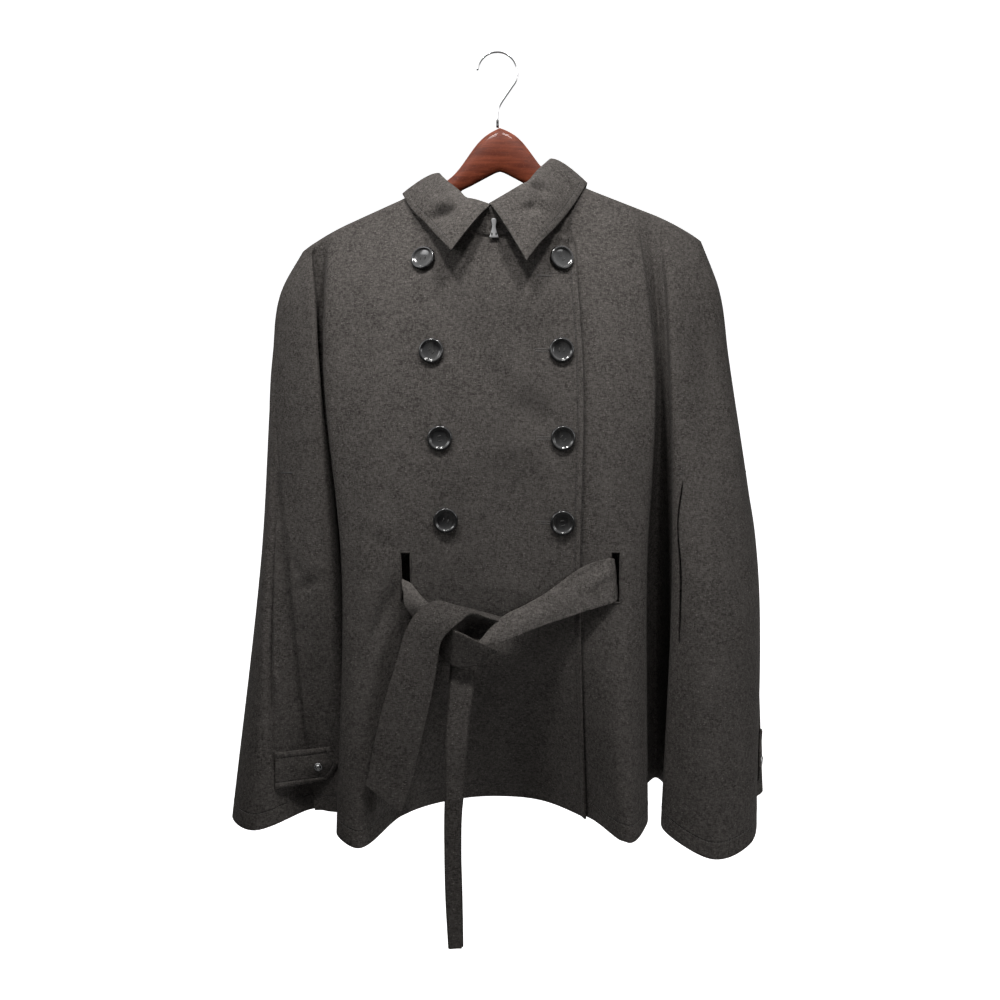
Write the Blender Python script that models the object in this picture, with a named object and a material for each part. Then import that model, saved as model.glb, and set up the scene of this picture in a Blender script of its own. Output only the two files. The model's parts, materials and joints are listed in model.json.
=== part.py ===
"""Cape coat with a shirt collar and a tie belt, hung on a wooden hanger.

Sizes below are millimetres. X runs to the viewer's right, Y away from the front, Z up.
The origin is where a rail touches the inside top of the hanger's hook.
"""

import math

import bmesh
import bpy
import numpy as np

MM = 0.001

# Cloth and seams
CLOTH = 2.2
SEAM_GAP = 0.3
LAYER = CLOTH + SEAM_GAP
LAP_LAYER = LAYER + 1.0
BELT_THICK = 2.6

# Hanger: the wooden arm and the wire hook
ARM_CENTRE = 3.0
ARM_LEFT = -223.0
ARM_RIGHT = 233.0
ARM_THICK = 12.0
ARM_SEAT = 0.2
ARM_INSET = 5.0
CAP_DROP = 7.0
ARM_TILT = 0.032
ARM_BASE_Z = -115.0
ARM_SLOPE = 0.414
ARM_CROWN = 33.0
HOOK_WIRE = 2.0
HOOK_RADIUS = 22.8

# Neckline
NECK_HALF = 80.0
NECK_LIFT = 2.5
NECK_CORNERS = (-84.0, -78.8, 78.8, 84.0)
NECK_FRONT_Y = -64.0
NECK_FRONT_Z = -217.0
NECK_BACK_Y = 50.0
NECK_BACK_Z = -200.0
OVERLAP_TOP_Z = -211.0
UNDER_TOP_Z = -218.0
UNDER_EDGE_X = -68.0
UNDER_FREE_Z = -188.0
UNDER_FULL_Z = -207.0

# Heights at which the sections below are given
YOKE_Z = -262.0
YOKE_SPREAD = 0.64
YOKE_FULL_CENTRE = 0.97
YOKE_FALL = 0.22
CHEST_Z = -340.0
WAIST_Z = -590.0
HEM_Z = -875.0

# How far off the surface is sampled for its outward direction, round it and down it
NEAR_PLACE = 0.001
NEAR_HEIGHT = 2.0

# Arm slits, belt slots and side vents, as heights
SLIT_TOP = -482.0
SLIT_BOTTOM = -728.0
SLOT_TOP = -560.0
SLOT_BOTTOM = -614.0
VENT_TOP = -474.0
VENT_LAP = 30.0

# One row per fold line of the fronts, from the viewer's left seam to the right one.
# Columns: name, x on the neck or shoulder, chest x, y, waist x, y, hem x, y, z
FRONT_FOLDS = (
    ("left_seam", -223, -254, -8, -236, -34, -216, -20, -873),
    ("left_wing_front", -208, -234, -26, -206, -44, -196, -26, -873),
    ("left_wing_roll", -199, -217, -33, -184, -36, -178, -16, -873),
    ("left_flute", -194, -211, -34, -175, -16, -178, 2, -871),
    ("left_flute_turn", -187, -203.5, -36, -167, -15, -169, 2, -871),
    ("left_flute_flank", -181, -197, -39.5, -165, -37, -170, -36, -874),
    ("left_body_edge", -172, -190, -44, -175, -62, -186, -74, -879),
    ("left_crest", -142, -160, -56, -147, -80, -156, -98, -886),
    ("left_crest_flank", -110, -116, -63, -106, -75, -112, -36, -874),
    ("left_of_centre", -62, -62, -67, -55, -68, -62, 2, -871),
    ("centre_front", 0, 0, -69, 0, -66, 3, 16, -870),
    ("right_of_centre", 40, 48, -67, 50, -67, 54, 6, -872),
    ("overlap_edge", 78, 93, -63, 92, -70, 104, -42, -875),
    ("right_crest", 114, 140, -57, 138, -76, 148, -98, -880),
    ("right_body_edge", 142, 170, -49, 168, -58, 175, -52, -876),
    ("right_flute_flank", 160, 184, -44, 181, -14, 190, 38, -874),
    ("right_flute", 174, 198, -42, 197, 18, 206, 84, -872),
    ("right_flute_back", 185, 208, -41, 211, -12, 219, 26, -874),
    ("right_wing_edge", 198, 222, -40, 197, -58, 188, -66, -880),
    ("right_wing_front", 212, 236, -31, 228, -80, 234, -95, -899),
    ("right_wing_side", 225, 254, -20, 280, -58, 286, -72, -892),
    ("right_wing_turn", 230, 263, -8, 302, -16, 305, -22, -880),
    ("right_seam", 233, 267, 4, 306, 6, 309, 6, -876),
)

# The same for the back, from the viewer's right seam round to the left one.
BACK_FOLDS = (
    ("right_side", 230, 266, 20, 306, 28, 331, 50, -876),
    ("right_fold", 218, 254, 36, 288, 62, 304, 104, -882),
    ("right_valley", 190, 220, 44, 240, 62, 246, 84, -874),
    ("right_back_crest", 146, 170, 52, 186, 92, 188, 138, -885),
    ("right_back_valley", 96, 112, 54, 116, 78, 112, 98, -874),
    ("back_centre", 14, 24, 58, 24, 94, 22, 142, -885),
    ("left_back_valley", -74, -84, 55, -88, 78, -88, 100, -874),
    ("left_back_crest", -128, -150, 52, -162, 90, -166, 136, -884),
    ("left_valley", -172, -202, 43, -224, 60, -232, 78, -874),
    ("left_fold", -206, -242, 28, -268, 46, -292, 62, -880),
    ("left_side", -217, -257, 12, -280, 4, -314, -16, -884),
    ("left_wing_side", -221.5, -259, 3, -264, -28, -280, -50, -886),
)

# Shares of the way from the top edge to the yoke, then heights, one per row of cloth
YOKE_SHARES = (0.0, 0.03, 0.08, 0.18, 0.4, 0.7)
BODY_HEIGHTS = (
    -262, -300, -345, -395, -440, SLIT_TOP, -506, -532, SLOT_TOP, -587, SLOT_BOTTOM,
    -650, -690, SLIT_BOTTOM, -766, -804, -842, HEM_Z,
)

# Columns: name, degrees round the neck from the centre front towards the viewer's left,
# x, y, z of the collar's fold line, x, y, z of its outer edge, and how full its roll is
COLLAR = (
    ("left_front", 4, -8, -68, -185, -49, -74, -234, 6),
    ("left_near_front", 20, -26, -65, -178, -60, -65, -221, 7),
    ("left_chest", 36, -41, -56, -168, -76, -50, -201, 7),
    ("left_forward", 60, -57, -30, -150, -97, -22, -176, 6),
    ("left_side", 84, -66, -6, -137, -108, -3, -157, 5),
    ("left_behind", 122, -54, 27, -146, -92, 26, -178, 6),
    ("back_left", 152, -28, 44, -164, -44, 55, -206, 6),
    ("back", 180, 0, 48, -171, 0, 62, -214, 6),
    ("back_right", 208, 28, 44, -160, 46, 55, -202, 6),
    ("right_behind", 238, 50, 27, -136, 90, 26, -168, 6),
    ("right_side", 276, 61, -6, -121, 102, -3, -145, 5),
    ("right_forward", 300, 47, -30, -137, 86, -26, -172, 6),
    ("right_chest", 323, 33, -54, -156, 66, -53, -200, 7),
    ("right_near_front", 340, 16, -65, -169, 47, -68, -223, 7),
    ("right_front", 358, -3, -68, -184, 31, -77, -245, 6),
)
NECK_RAISE = 2.5
ARM_CLEAR = 1.2
NECK_CENTRE_Y = -8.0

# Columns: left edge x, y, z, right edge x, y, z, and how far the middle stands forward
BELT_RUN_RIGHT = (
    (137, -48, -562, 137, -48, -612, 0),
    (131, -66, -562, 131, -66, -612, 0),
    (129, -78, -564, 130, -79, -613, 0),
    (119, -85, -568, 123, -86, -617, 1),
    (92, -87, -577, 96, -88, -626, 2),
    (53, -88, -604, 62, -91, -634, 4),
    (6, -88, -629, 17, -92, -652, 6),
    (-17, -90, -648, -8, -92, -660, 6),
)
BELT_RUN_LEFT = (
    (-101, -48, -577, -101, -48, -610, 0),
    (-102, -66, -577, -100, -66, -608, 1),
    (-104, -77, -582, -97, -79, -606, 2),
    (-105, -85, -598, -87, -89, -606, 2),
    (-101, -88, -614, -76, -93, -612, 3),
    (-92, -88, -630, -66, -94, -622, 3),
)
# The belt's hidden run between the slots, behind the front and round inside the back
BELT_INSIDE = (
    (137, -47.7, -562, 137, -47.7, -612, 0),
    (146, -24, -564, 146, -24, -614, 0),
    (144, 20, -566, 144, 20, -616, 0),
    (104, 54, -568, 104, 54, -618, 0),
    (52, 66, -569, 52, 66, -619, 0),
    (0, 70, -570, 0, 70, -620, 0),
    (-52, 66, -569, -52, 66, -619, 0),
    (-104, 54, -568, -104, 54, -618, 0),
    (-138, 22, -566, -138, 22, -616, 0),
    (-132, -20, -565, -132, -20, -614, 0),
    (-101, -46.6, -576, -101, -46.6, -611, 0),
)
BELT_WIDE_END = (
    (12, -81.6, -631, 7, -79.6, -640, 0),
    (-8, -91, -625, -8, -89, -633, 2),
    (-26, -96, -620, -25, -96, -626, 3),
    (-46, -100, -615, -37, -104, -632, 5),
    (-64, -101, -609, -49, -109, -639, 6),
    (-78, -101, -613, -55, -111, -644, 6),
    (-90, -101, -626, -59, -112, -651, 5),
    (-99, -101, -641, -61, -112, -662, 4),
    (-108, -102, -672, -65, -110, -681, 3),
    (-122, -105, -718, -72, -107, -721, 2),
    (-136, -109, -779, -86, -109, -780, 1),
    (-143, -111, -810, -105, -113, -842, 1),
)
BELT_KNOT = (
    (-58, -88, -634.5, -70, -88, -663.5, 2),
    (-54, -96, -637, -60, -95, -670, 4),
    (-45, -102, -640, -50, -101, -676, 5),
    (-27, -103, -649, -37, -102, -681, 5),
    (-14, -100, -657, -25, -98, -682, 4),
    (-3, -91, -663.5, -14, -90, -680.5, 2),
)
BELT_NARROW_END = (
    (-50, -95.2, -664, -24, -95.2, -664, 1),
    (-52, -95.2, -688, -26, -95.2, -688, 3),
    (-54, -94, -712, -30, -94, -712, 9),
    (-56, -91, -742, -31, -91, -742, 14),
    (-57, -91, -812, -37, -91, -812, 18),
    (-58, -91, -850, -41, -91, -850, 19),
    (-58, -92, -892, -42, -92, -892, 20),
    (-56, -93, -949, -41, -93, -949, 20),
    (-54, -94, -1003, -40, -94, -1002, 20),
)

# Columns: name, x, z of each button's centre
BUTTONS = (
    ("button_left_1", -81, -237),
    ("button_left_2", -72, -339),
    ("button_left_3", -63, -434),
    ("button_left_4", -57, -524),
    ("button_right_1", 70, -237),
    ("button_right_2", 70, -338),
    ("button_right_3", 72, -434),
    ("button_right_4", 72, -527),
)
BUTTON_RADIUS = 13.8
BUTTON_HEIGHT = 4.0
BUTTON_SIDES = 18
BUTTON_BED = 0.6
# Columns: share of the radius, share of the height, from the back's middle to the front's
BUTTON_PROFILE = (
    (0.62, 0.0),
    (0.95, 0.2),
    (1.0, 0.55),
    (0.93, 1.0),
    (0.82, 0.95),
    (0.7, 0.62),
)


# Vent tabs: heights of their edges, and millimetres each side of the seam
TAB_TOP = -798.0
TAB_DEPTH = 40.0
TAB_BACK = 31.0
TAB_RISE = 6.0
# How far the tab's middle lies above the surface, where it is sewn and where it is snapped
TAB_SEWN = 1.7
TAB_OVER = LAYER + 0.7
# Columns: share of the depth from the top, reach over the front
TAB_END = ((0.0, 24.0), (0.24, 29.0), (0.46, 34.0), (0.74, 27.0), (1.0, 20.0))
SNAP_REACH = 16.0
SNAP_RADIUS = 5.0
SNAP_HEIGHT = 2.2
SNAP_SIDES = 12
SNAP_PROFILE = ((0.9, 0.0), (1.0, 0.25), (0.85, 0.5), (0.62, 0.5), (0.5, 0.9), (0.25, 1.0))

# The metal hook at the neck, as half widths at heights down from its top
NECK_HOOK_X = -3.5
NECK_HOOK_TOP = -196.5
NECK_HOOK_Y = -68.9
NECK_HOOK_THICK = 1.4
NECK_HOOK_OUTLINE = (
    (1.8, 0.0), (3.6, 1.2), (4.4, 3.6), (3.8, 6.2), (2.7, 8.4), (3.0, 12.0), (4.4, 15.6),
    (5.6, 18.6), (5.4, 21.0),
)


def arm_top(x):
    """Height of the hanger's upper edge at x."""
    reach = np.abs(x - ARM_CENTRE)
    bend = 0.0025 * np.maximum(0.0, reach - 172.0) ** 2
    crown = ARM_CROWN * np.exp(-((reach / 42.0) ** 3.2))
    return ARM_BASE_Z - ARM_SLOPE * reach - bend + crown + ARM_TILT * x


def shoulder_z(x):
    """Height of the middle of the cloth that lies over the arm at x, a little up at the neck."""
    beyond = np.maximum(0.0, np.abs(x) - NECK_HALF)
    rise = NECK_LIFT * np.exp(-((beyond / 14.0) ** 2))
    return arm_top(x) + SEAM_GAP + CLOTH / 2 + rise


def arm_height(x):
    """How deep the wooden arm is, top to bottom, at x."""
    reach = np.abs(x - ARM_CENTRE)
    return 27.0 + 21.0 * np.exp(-((reach / 30.0) ** 2.0)) - 6.0 * reach / ARM_RIGHT


def smooth(low, high, value):
    """A soft step from 0 at low to 1 at high."""
    share = np.clip((value - low) / (high - low), 0.0, 1.0)
    return share * share * (3 - 2 * share)


def top_edge(x, side):
    """Where fold lines start: on the neckline, or on the shoulder over the hanger."""
    turn = np.sqrt(np.clip(1 - (x / NECK_HALF) ** 2, 0.0, 1.0))
    in_front = side < 0
    reach_y = np.where(in_front, NECK_FRONT_Y, NECK_BACK_Y)
    low_z = np.where(in_front, NECK_FRONT_Z, NECK_BACK_Z)
    side_z = shoulder_z(np.copysign(NECK_HALF, x))
    neck_z = side_z + (low_z - side_z) * turn ** 1.25
    on_shoulder = np.abs(x) > NECK_HALF
    y = np.where(on_shoulder, 0.0, reach_y * turn) + side * SEAM_GAP * 0.7
    z = np.where(on_shoulder, shoulder_z(x), neck_z)
    return y, z


def slopes_of(knots, values):
    """Slopes of a smooth curve through values at uneven knots, last axis first."""
    steps = np.diff(knots, axis=0)
    rates = np.diff(values, axis=0) / steps
    inner = (rates[:-1] * steps[1:] + rates[1:] * steps[:-1]) / (steps[:-1] + steps[1:])
    return np.concatenate([rates[:1], inner, rates[-1:]])


def blend(t, step, start, start_slope, end, end_slope):
    """A cubic from start to end with the given slopes."""
    rest = 1 - t
    along = (1 + 2 * t) * rest ** 2 * start + t * t * (3 - 2 * t) * end
    return along + step * (t * rest ** 2 * start_slope - t * t * rest * end_slope)


class Curve:
    """A smooth curve through rows of values, closed or open."""

    def __init__(self, knots, values, period=None):
        knots = np.asarray(knots, float)
        values = np.asarray(values, float)
        if period is not None:
            knots = np.concatenate([knots[-3:] - period, knots, knots[:3] + period])
            values = np.concatenate([values[-3:], values, values[:3]])
        self.period = period
        self.knots = knots
        self.values = values
        self.slopes = slopes_of(knots[:, None], values)

    def at(self, places):
        places = np.asarray(places, float)
        if self.period is not None:
            places = places % self.period
        index = np.clip(np.searchsorted(self.knots, places) - 1, 0, len(self.knots) - 2)
        step = self.knots[index + 1] - self.knots[index]
        t = (places - self.knots[index]) / step
        return blend(
            t[..., None],
            step[..., None],
            self.values[index],
            self.slopes[index],
            self.values[index + 1],
            self.slopes[index + 1],
        )


class Drape:
    """The garment's closed surface. A place from 0 to 1 runs once round it."""

    def __init__(self):
        folds = FRONT_FOLDS + BACK_FOLDS
        self.names = [row[0] for row in folds]
        numbers = np.array([row[1:] for row in folds], float)
        around = np.concatenate([numbers, numbers[:1]])
        spans = np.linalg.norm(np.diff(around[:, 5:7], axis=0), axis=1)
        spans += np.linalg.norm(np.diff(around[:, 3:5], axis=0), axis=1)
        self.places = np.concatenate([[0.0], np.cumsum(spans)[:-1]]) / spans.sum()
        self.curve = Curve(self.places, numbers, period=1.0)
        self.right_seam = self.place("right_seam")

    def place(self, name):
        return self.places[self.names.index(name)]

    def points(self, places, heights, ceiling=None, real=False):
        """Points at places round the garment and nominal heights.

        Nominal heights from 0 down to YOKE_Z run from the top edge, wherever it is, to the
        yoke. Real ones are heights as they are.
        """
        places, heights = np.broadcast_arrays(places, heights)
        row = self.curve.at(places)
        wrapped = places % 1.0
        side = np.where(wrapped <= self.right_seam, -1.0, 1.0)
        top_x = np.clip(row[..., 0], ARM_LEFT, ARM_RIGHT)
        top_y, top_z = top_edge(top_x, side)
        end = np.where(top_x < 0, ARM_LEFT, ARM_RIGHT)
        past = np.clip(1 - np.abs(end - top_x) / 16.0, 0.0, 1.0)
        clear = ARM_THICK / 2 + 3 * SEAM_GAP + CLOTH / 2
        start_y = side * np.maximum(np.abs(top_y), clear * np.sqrt(1 - past ** 2))
        start_z = top_z
        if ceiling is not None:
            start_z = np.where(top_x * ceiling[0] > 0, np.minimum(top_z, ceiling[1]), top_z)
        share = np.clip(heights / YOKE_Z, 0.0, 1.0)
        z = np.array(heights, float)
        if not real:
            z = np.where(heights >= YOKE_Z, start_z + (YOKE_Z - start_z) * share, heights)
        yoke_x = top_x + (row[..., 1] - top_x) * YOKE_SPREAD
        yoke_y = row[..., 2] * (YOKE_FULL_CENTRE - YOKE_FALL * smooth(10.0, 120.0, np.abs(top_x)))
        level = np.ones_like(top_x)
        knots = np.array(
            [-top_z, -YOKE_Z * level, -CHEST_Z * level, -WAIST_Z * level, -HEM_Z * level]
        )
        across = np.array([top_x, yoke_x, row[..., 1], row[..., 3], row[..., 5]])
        depth = np.array([start_y, yoke_y, row[..., 2], row[..., 4], row[..., 6]])
        x = self.down(knots, across, -z)
        y = self.down(knots, depth, -z)
        fall = np.clip((top_z - z) / CAP_DROP, 0.0, 1.0)
        bend = np.sqrt(1 - (1 - fall) ** 2)
        y = y + (top_y - y) * (1 - bend)
        below = np.clip((z - WAIST_Z) / (HEM_Z - WAIST_Z), 0.0, None)
        z = np.where(z < WAIST_Z, WAIST_Z + below * (row[..., 7] - WAIST_Z), z)
        return np.stack([x, y, z], axis=-1)

    def normals(self, places, heights, ceiling=None):
        """Unit outward directions of the surface, from points close by on each side."""
        upper = np.minimum(heights + NEAR_HEIGHT, 0.0)
        lower = np.maximum(heights - NEAR_HEIGHT, HEM_Z)
        drop = self.points(places, lower, ceiling) - self.points(places, upper, ceiling)
        after = self.points(places + NEAR_PLACE, heights, ceiling)
        normals = np.cross(drop, after - self.points(places - NEAR_PLACE, heights, ceiling))
        lengths = np.linalg.norm(normals, axis=-1, keepdims=True)
        return normals / np.maximum(lengths, 1e-9)

    @staticmethod
    def down(knots, values, low):
        """Values at depth low along curves whose knots run down the first axis."""
        slopes = slopes_of(knots, values)
        result = values[0].copy()
        for i in range(len(knots) - 1):
            step = knots[i + 1] - knots[i]
            t = np.clip((low - knots[i]) / step, 0.0, 1.0)
            span = blend(t, step, values[i], slopes[i], values[i + 1], slopes[i + 1])
            result = np.where(low > knots[i], span, result)
        return result

    def on_shoulder(self, places):
        """1 where a fold line starts on the hanger's arm, 0 where it starts on the neckline."""
        return smooth(NECK_HALF - 2.0, NECK_HALF, np.abs(self.curve.at(places)[..., 0]))

    def find(self, x, height, low="left_body_edge", high="right_body_edge"):
        """Place on the body between two fold lines where the cloth crosses x."""
        first = self.place(low)
        last = self.place(high)
        for _ in range(40):
            middle = (first + last) / 2
            if self.points(middle, float(height), real=True)[0] < x:
                first = middle
            else:
                last = middle
        return (first + last) / 2

    def neck_corner(self, x, first, last):
        """Place between two others where a fold line starts at x on the neckline."""
        places = np.linspace(first, last, 400)
        return places[np.argmin(np.abs(self.curve.at(places)[:, 0] - x))]

    def per_mm(self, place, height):
        """Change of place for a millimetre of cloth."""
        step = 0.001
        ends = self.points(np.array([place - step, place + step]), float(height), real=True)
        return 2 * step / np.linalg.norm(ends[1] - ends[0])

    def stand_on(self, place, height, radius):
        """Where a round piece lies on the cloth at a real height, and its outward direction."""
        step = radius * self.per_mm(place, height)
        places = place + step * np.linspace(-1.0, 1.0, 9)
        heights = height + radius * np.linspace(1.0, -1.0, 9)
        patch = self.points(places[None, :], heights[:, None], real=True)
        middle = patch[4, 4]
        normal = np.cross(patch[-1, 4] - patch[0, 4], patch[4, -1] - patch[4, 0])
        normal /= np.linalg.norm(normal)
        rise = (patch - middle) @ normal
        return middle + normal * rise.max(), normal


def material(name, colour, roughness, metallic=0.0):
    made = bpy.data.materials.new(name)
    made.use_nodes = True
    shader = made.node_tree.nodes["Principled BSDF"]
    shader.inputs["Base Color"].default_value = (*colour, 1.0)
    shader.inputs["Roughness"].default_value = roughness
    shader.inputs["Metallic"].default_value = metallic
    made.diffuse_color = (*colour, 1.0)
    return made


def add_object(name, points, faces, made_of):
    mesh = bpy.data.meshes.new(name)
    mesh.from_pydata([tuple(np.asarray(p, float) * MM) for p in points], [], faces)
    mesh.update()
    work = bmesh.new()
    work.from_mesh(mesh)
    bmesh.ops.recalc_face_normals(work, faces=work.faces)
    work.to_mesh(mesh)
    work.free()
    for face in mesh.polygons:
        face.use_smooth = True
    mesh.materials.append(made_of)
    solid = bpy.data.objects.new(name, mesh)
    bpy.context.scene.collection.objects.link(solid)
    return solid


def grid_normals(grid):
    """Unit normals of a grid of points, rows by columns."""
    along = np.gradient(grid, axis=1)
    down = np.gradient(grid, axis=0)
    normals = np.cross(down, along)
    lengths = np.linalg.norm(normals, axis=2, keepdims=True)
    return normals / np.maximum(lengths, 1e-9)


def wall(name, grid, normals, made_of, thick=CLOTH, lift=0.0, kept=None):
    """A sheet of cloth: the kept faces of a grid given a thickness about its lifted surface."""
    rows, columns = grid.shape[:2]
    lift = np.broadcast_to(lift, (rows, columns))[..., None]
    outer = grid + normals * (lift + thick / 2)
    inner = grid + normals * (lift - thick / 2)
    points = np.concatenate([outer.reshape(-1, 3), inner.reshape(-1, 3)])
    count = rows * columns
    if kept is None:
        kept = np.ones((rows - 1, columns - 1), bool)
    faces = []
    edges = set()
    for i, j in zip(*np.nonzero(kept)):
        corner = i * columns + j
        ring = (corner, corner + columns, corner + columns + 1, corner + 1)
        faces.append(ring)
        faces.append(tuple(count + index for index in reversed(ring)))
        for start, end in zip(ring, ring[1:] + ring[:1]):
            if (end, start) in edges:
                edges.remove((end, start))
            else:
                edges.add((start, end))
    for start, end in sorted(edges):
        faces.append((end, start, count + start, count + end))
    used = sorted({index for face in faces for index in face})
    renumber = {index: new for new, index in enumerate(used)}
    faces = [tuple(renumber[index] for index in face) for face in faces]
    return add_object(name, points[used], faces, made_of)


def sheet(name, grid, made_of, thick=CLOTH):
    return wall(name, grid, grid_normals(grid), made_of, thick)


class Cut:
    """An opening between two columns of a panel, as wide as half on each side of its middle.

    The columns on each side are pushed away from it, less and less with distance.
    """

    def __init__(self, middle, half, top, bottom, pointed):
        self.middle = middle
        self.half = half
        self.top = top
        self.bottom = bottom
        self.pointed = pointed

    def push(self, places, heights):
        share = np.ones(len(heights))
        if self.pointed:
            down = np.clip((heights - self.top) / (self.bottom - self.top), 0.0, 1.0)
            share = np.sqrt(np.sin(math.pi * down))
        away = places - self.middle
        near = np.clip(1 - np.abs(away) / (3 * self.half), 0.0, 1.0)
        return share[:, None] * (self.half * near * np.sign(away))[None, :]


def panel(name, drape, places, made_of, cuts=(), lift=None, kept=None, ceiling=None):
    """A body panel over the given places, with its openings cut out."""
    heights = np.array([YOKE_Z * share for share in YOKE_SHARES] + list(BODY_HEIGHTS))
    places = np.array(places, float)
    table = np.repeat(places[None, :], len(heights), axis=0)
    whole = np.ones((len(heights) - 1, len(places) - 1), bool)
    for cut in cuts:
        j = int(np.searchsorted(places, cut.middle)) - 1
        table += cut.push(places, heights)
        inside = (heights[:-1] <= cut.top + 0.5) & (heights[1:] >= cut.bottom - 0.5)
        whole[inside, j] = False
    if kept is not None:
        whole &= kept(heights[:-1, None], heights[1:, None], places[None, :-1], places[None, 1:])
    grid = drape.points(table, heights[:, None], ceiling)
    normals = drape.normals(table, heights[:, None], ceiling)
    normals[0, :, 1] *= 1 - drape.on_shoulder(places)
    normals[0] /= np.maximum(np.linalg.norm(normals[0], axis=1, keepdims=True), 1e-9)
    lifts = 0.0 if lift is None else lift(table, grid[..., 2])
    return wall(name, grid, normals, made_of, lift=lifts, kept=whole)


def spread(first, last, count, cuts, fixed=()):
    """Even places from first to last, with a pair set aside for each cut and fixed ones kept."""
    places = list(np.linspace(first, last, count))
    step = places[1] - places[0]
    for place in fixed:
        places = [p for p in places if p in fixed or abs(p - place) > 0.6 * step]
        places.append(place)
    for cut in cuts:
        places = [p for p in places if abs(p - cut.middle) > 0.6 * step]
        places.extend([cut.middle - 0.1 * step, cut.middle + 0.1 * step])
    return sorted(places)


def ribbon(name, rows, made_of, steps, columns=5, thick=BELT_THICK):
    """A strip through rows of left edge, right edge and how far its middle stands forward."""
    rows = np.array(rows, float)
    middle = (rows[:, :3] + rows[:, 3:6]) / 2
    spans = np.linalg.norm(np.diff(middle, axis=0), axis=1)
    curve = Curve(np.concatenate([[0.0], np.cumsum(spans)]), rows)
    values = curve.at(np.linspace(0.0, spans.sum(), steps))
    share = np.linspace(0.0, 1.0, columns)[None, :, None]
    grid = values[:, None, :3] * (1 - share) + values[:, None, 3:6] * share
    bow = np.sin(math.pi * share[..., 0]) * values[:, None, 6]
    grid[..., 1] -= bow
    return sheet(name, grid, made_of, thick)


def turned(name, centre, normal, radius, height, profile, sides, made_of):
    """A round piece from a profile of radius and height shares, standing on centre."""
    normal = np.asarray(normal, float)
    normal /= np.linalg.norm(normal)
    across = np.cross(normal, (0.0, 0.0, 1.0))
    across /= np.linalg.norm(across)
    upward = np.cross(across, normal)
    points = []
    for width, rise in profile:
        for k in range(sides):
            turn = 2 * math.pi * k / sides
            spoke = math.cos(turn) * across + math.sin(turn) * upward
            points.append(centre + radius * width * spoke + height * rise * normal)
    faces = []
    for ring in range(len(profile) - 1):
        for k in range(sides):
            a = ring * sides + k
            b = ring * sides + (k + 1) % sides
            faces.append((a, b, b + sides, a + sides))
    last = (len(profile) - 1) * sides
    faces.append(tuple(reversed(range(sides))))
    faces.append(tuple(range(last, last + sides)))
    return add_object(name, points, faces, made_of)


def tube(name, path, radius, made_of, sides=8):
    """A round wire along points in the XZ plane, with flat ends."""
    path = np.array(path, float)
    ahead = np.gradient(path, axis=0)
    ahead /= np.linalg.norm(ahead, axis=1, keepdims=True)
    points = []
    for point, forward in zip(path, ahead):
        side = np.array([0.0, 1.0, 0.0])
        up = np.cross(forward, side)
        for k in range(sides):
            turn = 2 * math.pi * k / sides
            points.append(point + radius * (math.cos(turn) * side + math.sin(turn) * up))
    faces = []
    for i in range(len(path) - 1):
        for k in range(sides):
            a = i * sides + k
            b = i * sides + (k + 1) % sides
            faces.append((a, b, b + sides, a + sides))
    faces.append(tuple(range(sides)))
    faces.append(tuple(reversed(range(len(points) - sides, len(points)))))
    return add_object(name, points, faces, made_of)


def build_hanger(wood, chrome):
    sides = 12
    left = ARM_LEFT + ARM_INSET
    right = ARM_RIGHT - ARM_INSET
    stations = np.concatenate(
        [
            left + np.array([0.0, 2.0, 7.0, 16.0]),
            np.linspace(-180.0, -80.0, 4),
            np.linspace(-60.0, 66.0, 13),
            np.linspace(86.0, 190.0, 4),
            right - np.array([16.0, 7.0, 2.0, 0.0]),
        ]
    )
    points = []
    for x in stations:
        near_end = min(x - left, right - x) / 16.0
        taper = math.sqrt(1 - (1 - min(1.0, near_end + 0.03)) ** 2)
        deep = arm_height(x) * (0.35 + 0.65 * taper)
        thick = ARM_THICK * taper
        for k in range(sides):
            turn = 2 * math.pi * k / sides
            across = math.cos(turn) * thick / 2
            lift = math.sin(turn) * deep / 2
            points.append((x, across, arm_top(x) - ARM_SEAT - deep / 2 + lift))
    faces = []
    for i in range(len(stations) - 1):
        for k in range(sides):
            a = i * sides + k
            b = i * sides + (k + 1) % sides
            faces.append((a, b, b + sides, a + sides))
    faces.append(tuple(range(sides)))
    faces.append(tuple(reversed(range(len(points) - sides, len(points)))))
    add_object("hanger_wood", points, faces, wood)

    centre_z = -HOOK_RADIUS + HOOK_WIRE
    path = []
    for angle in np.linspace(172.0, -42.0, 19):
        turn = math.radians(angle)
        path.append((HOOK_RADIUS * math.cos(turn), 0.0, centre_z + HOOK_RADIUS * math.sin(turn)))
    stem = ((8.6, 0.0, -48.0), (3.0, 0.0, -56.5), (0.6, 0.0, -64.0), (0.2, 0.0, -72.0))
    path.extend(stem)
    path.append((0.2, 0.0, float(arm_top(0.2)) + SEAM_GAP + 0.6))
    tube("hanger_hook", path, HOOK_WIRE, chrome)


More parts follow.
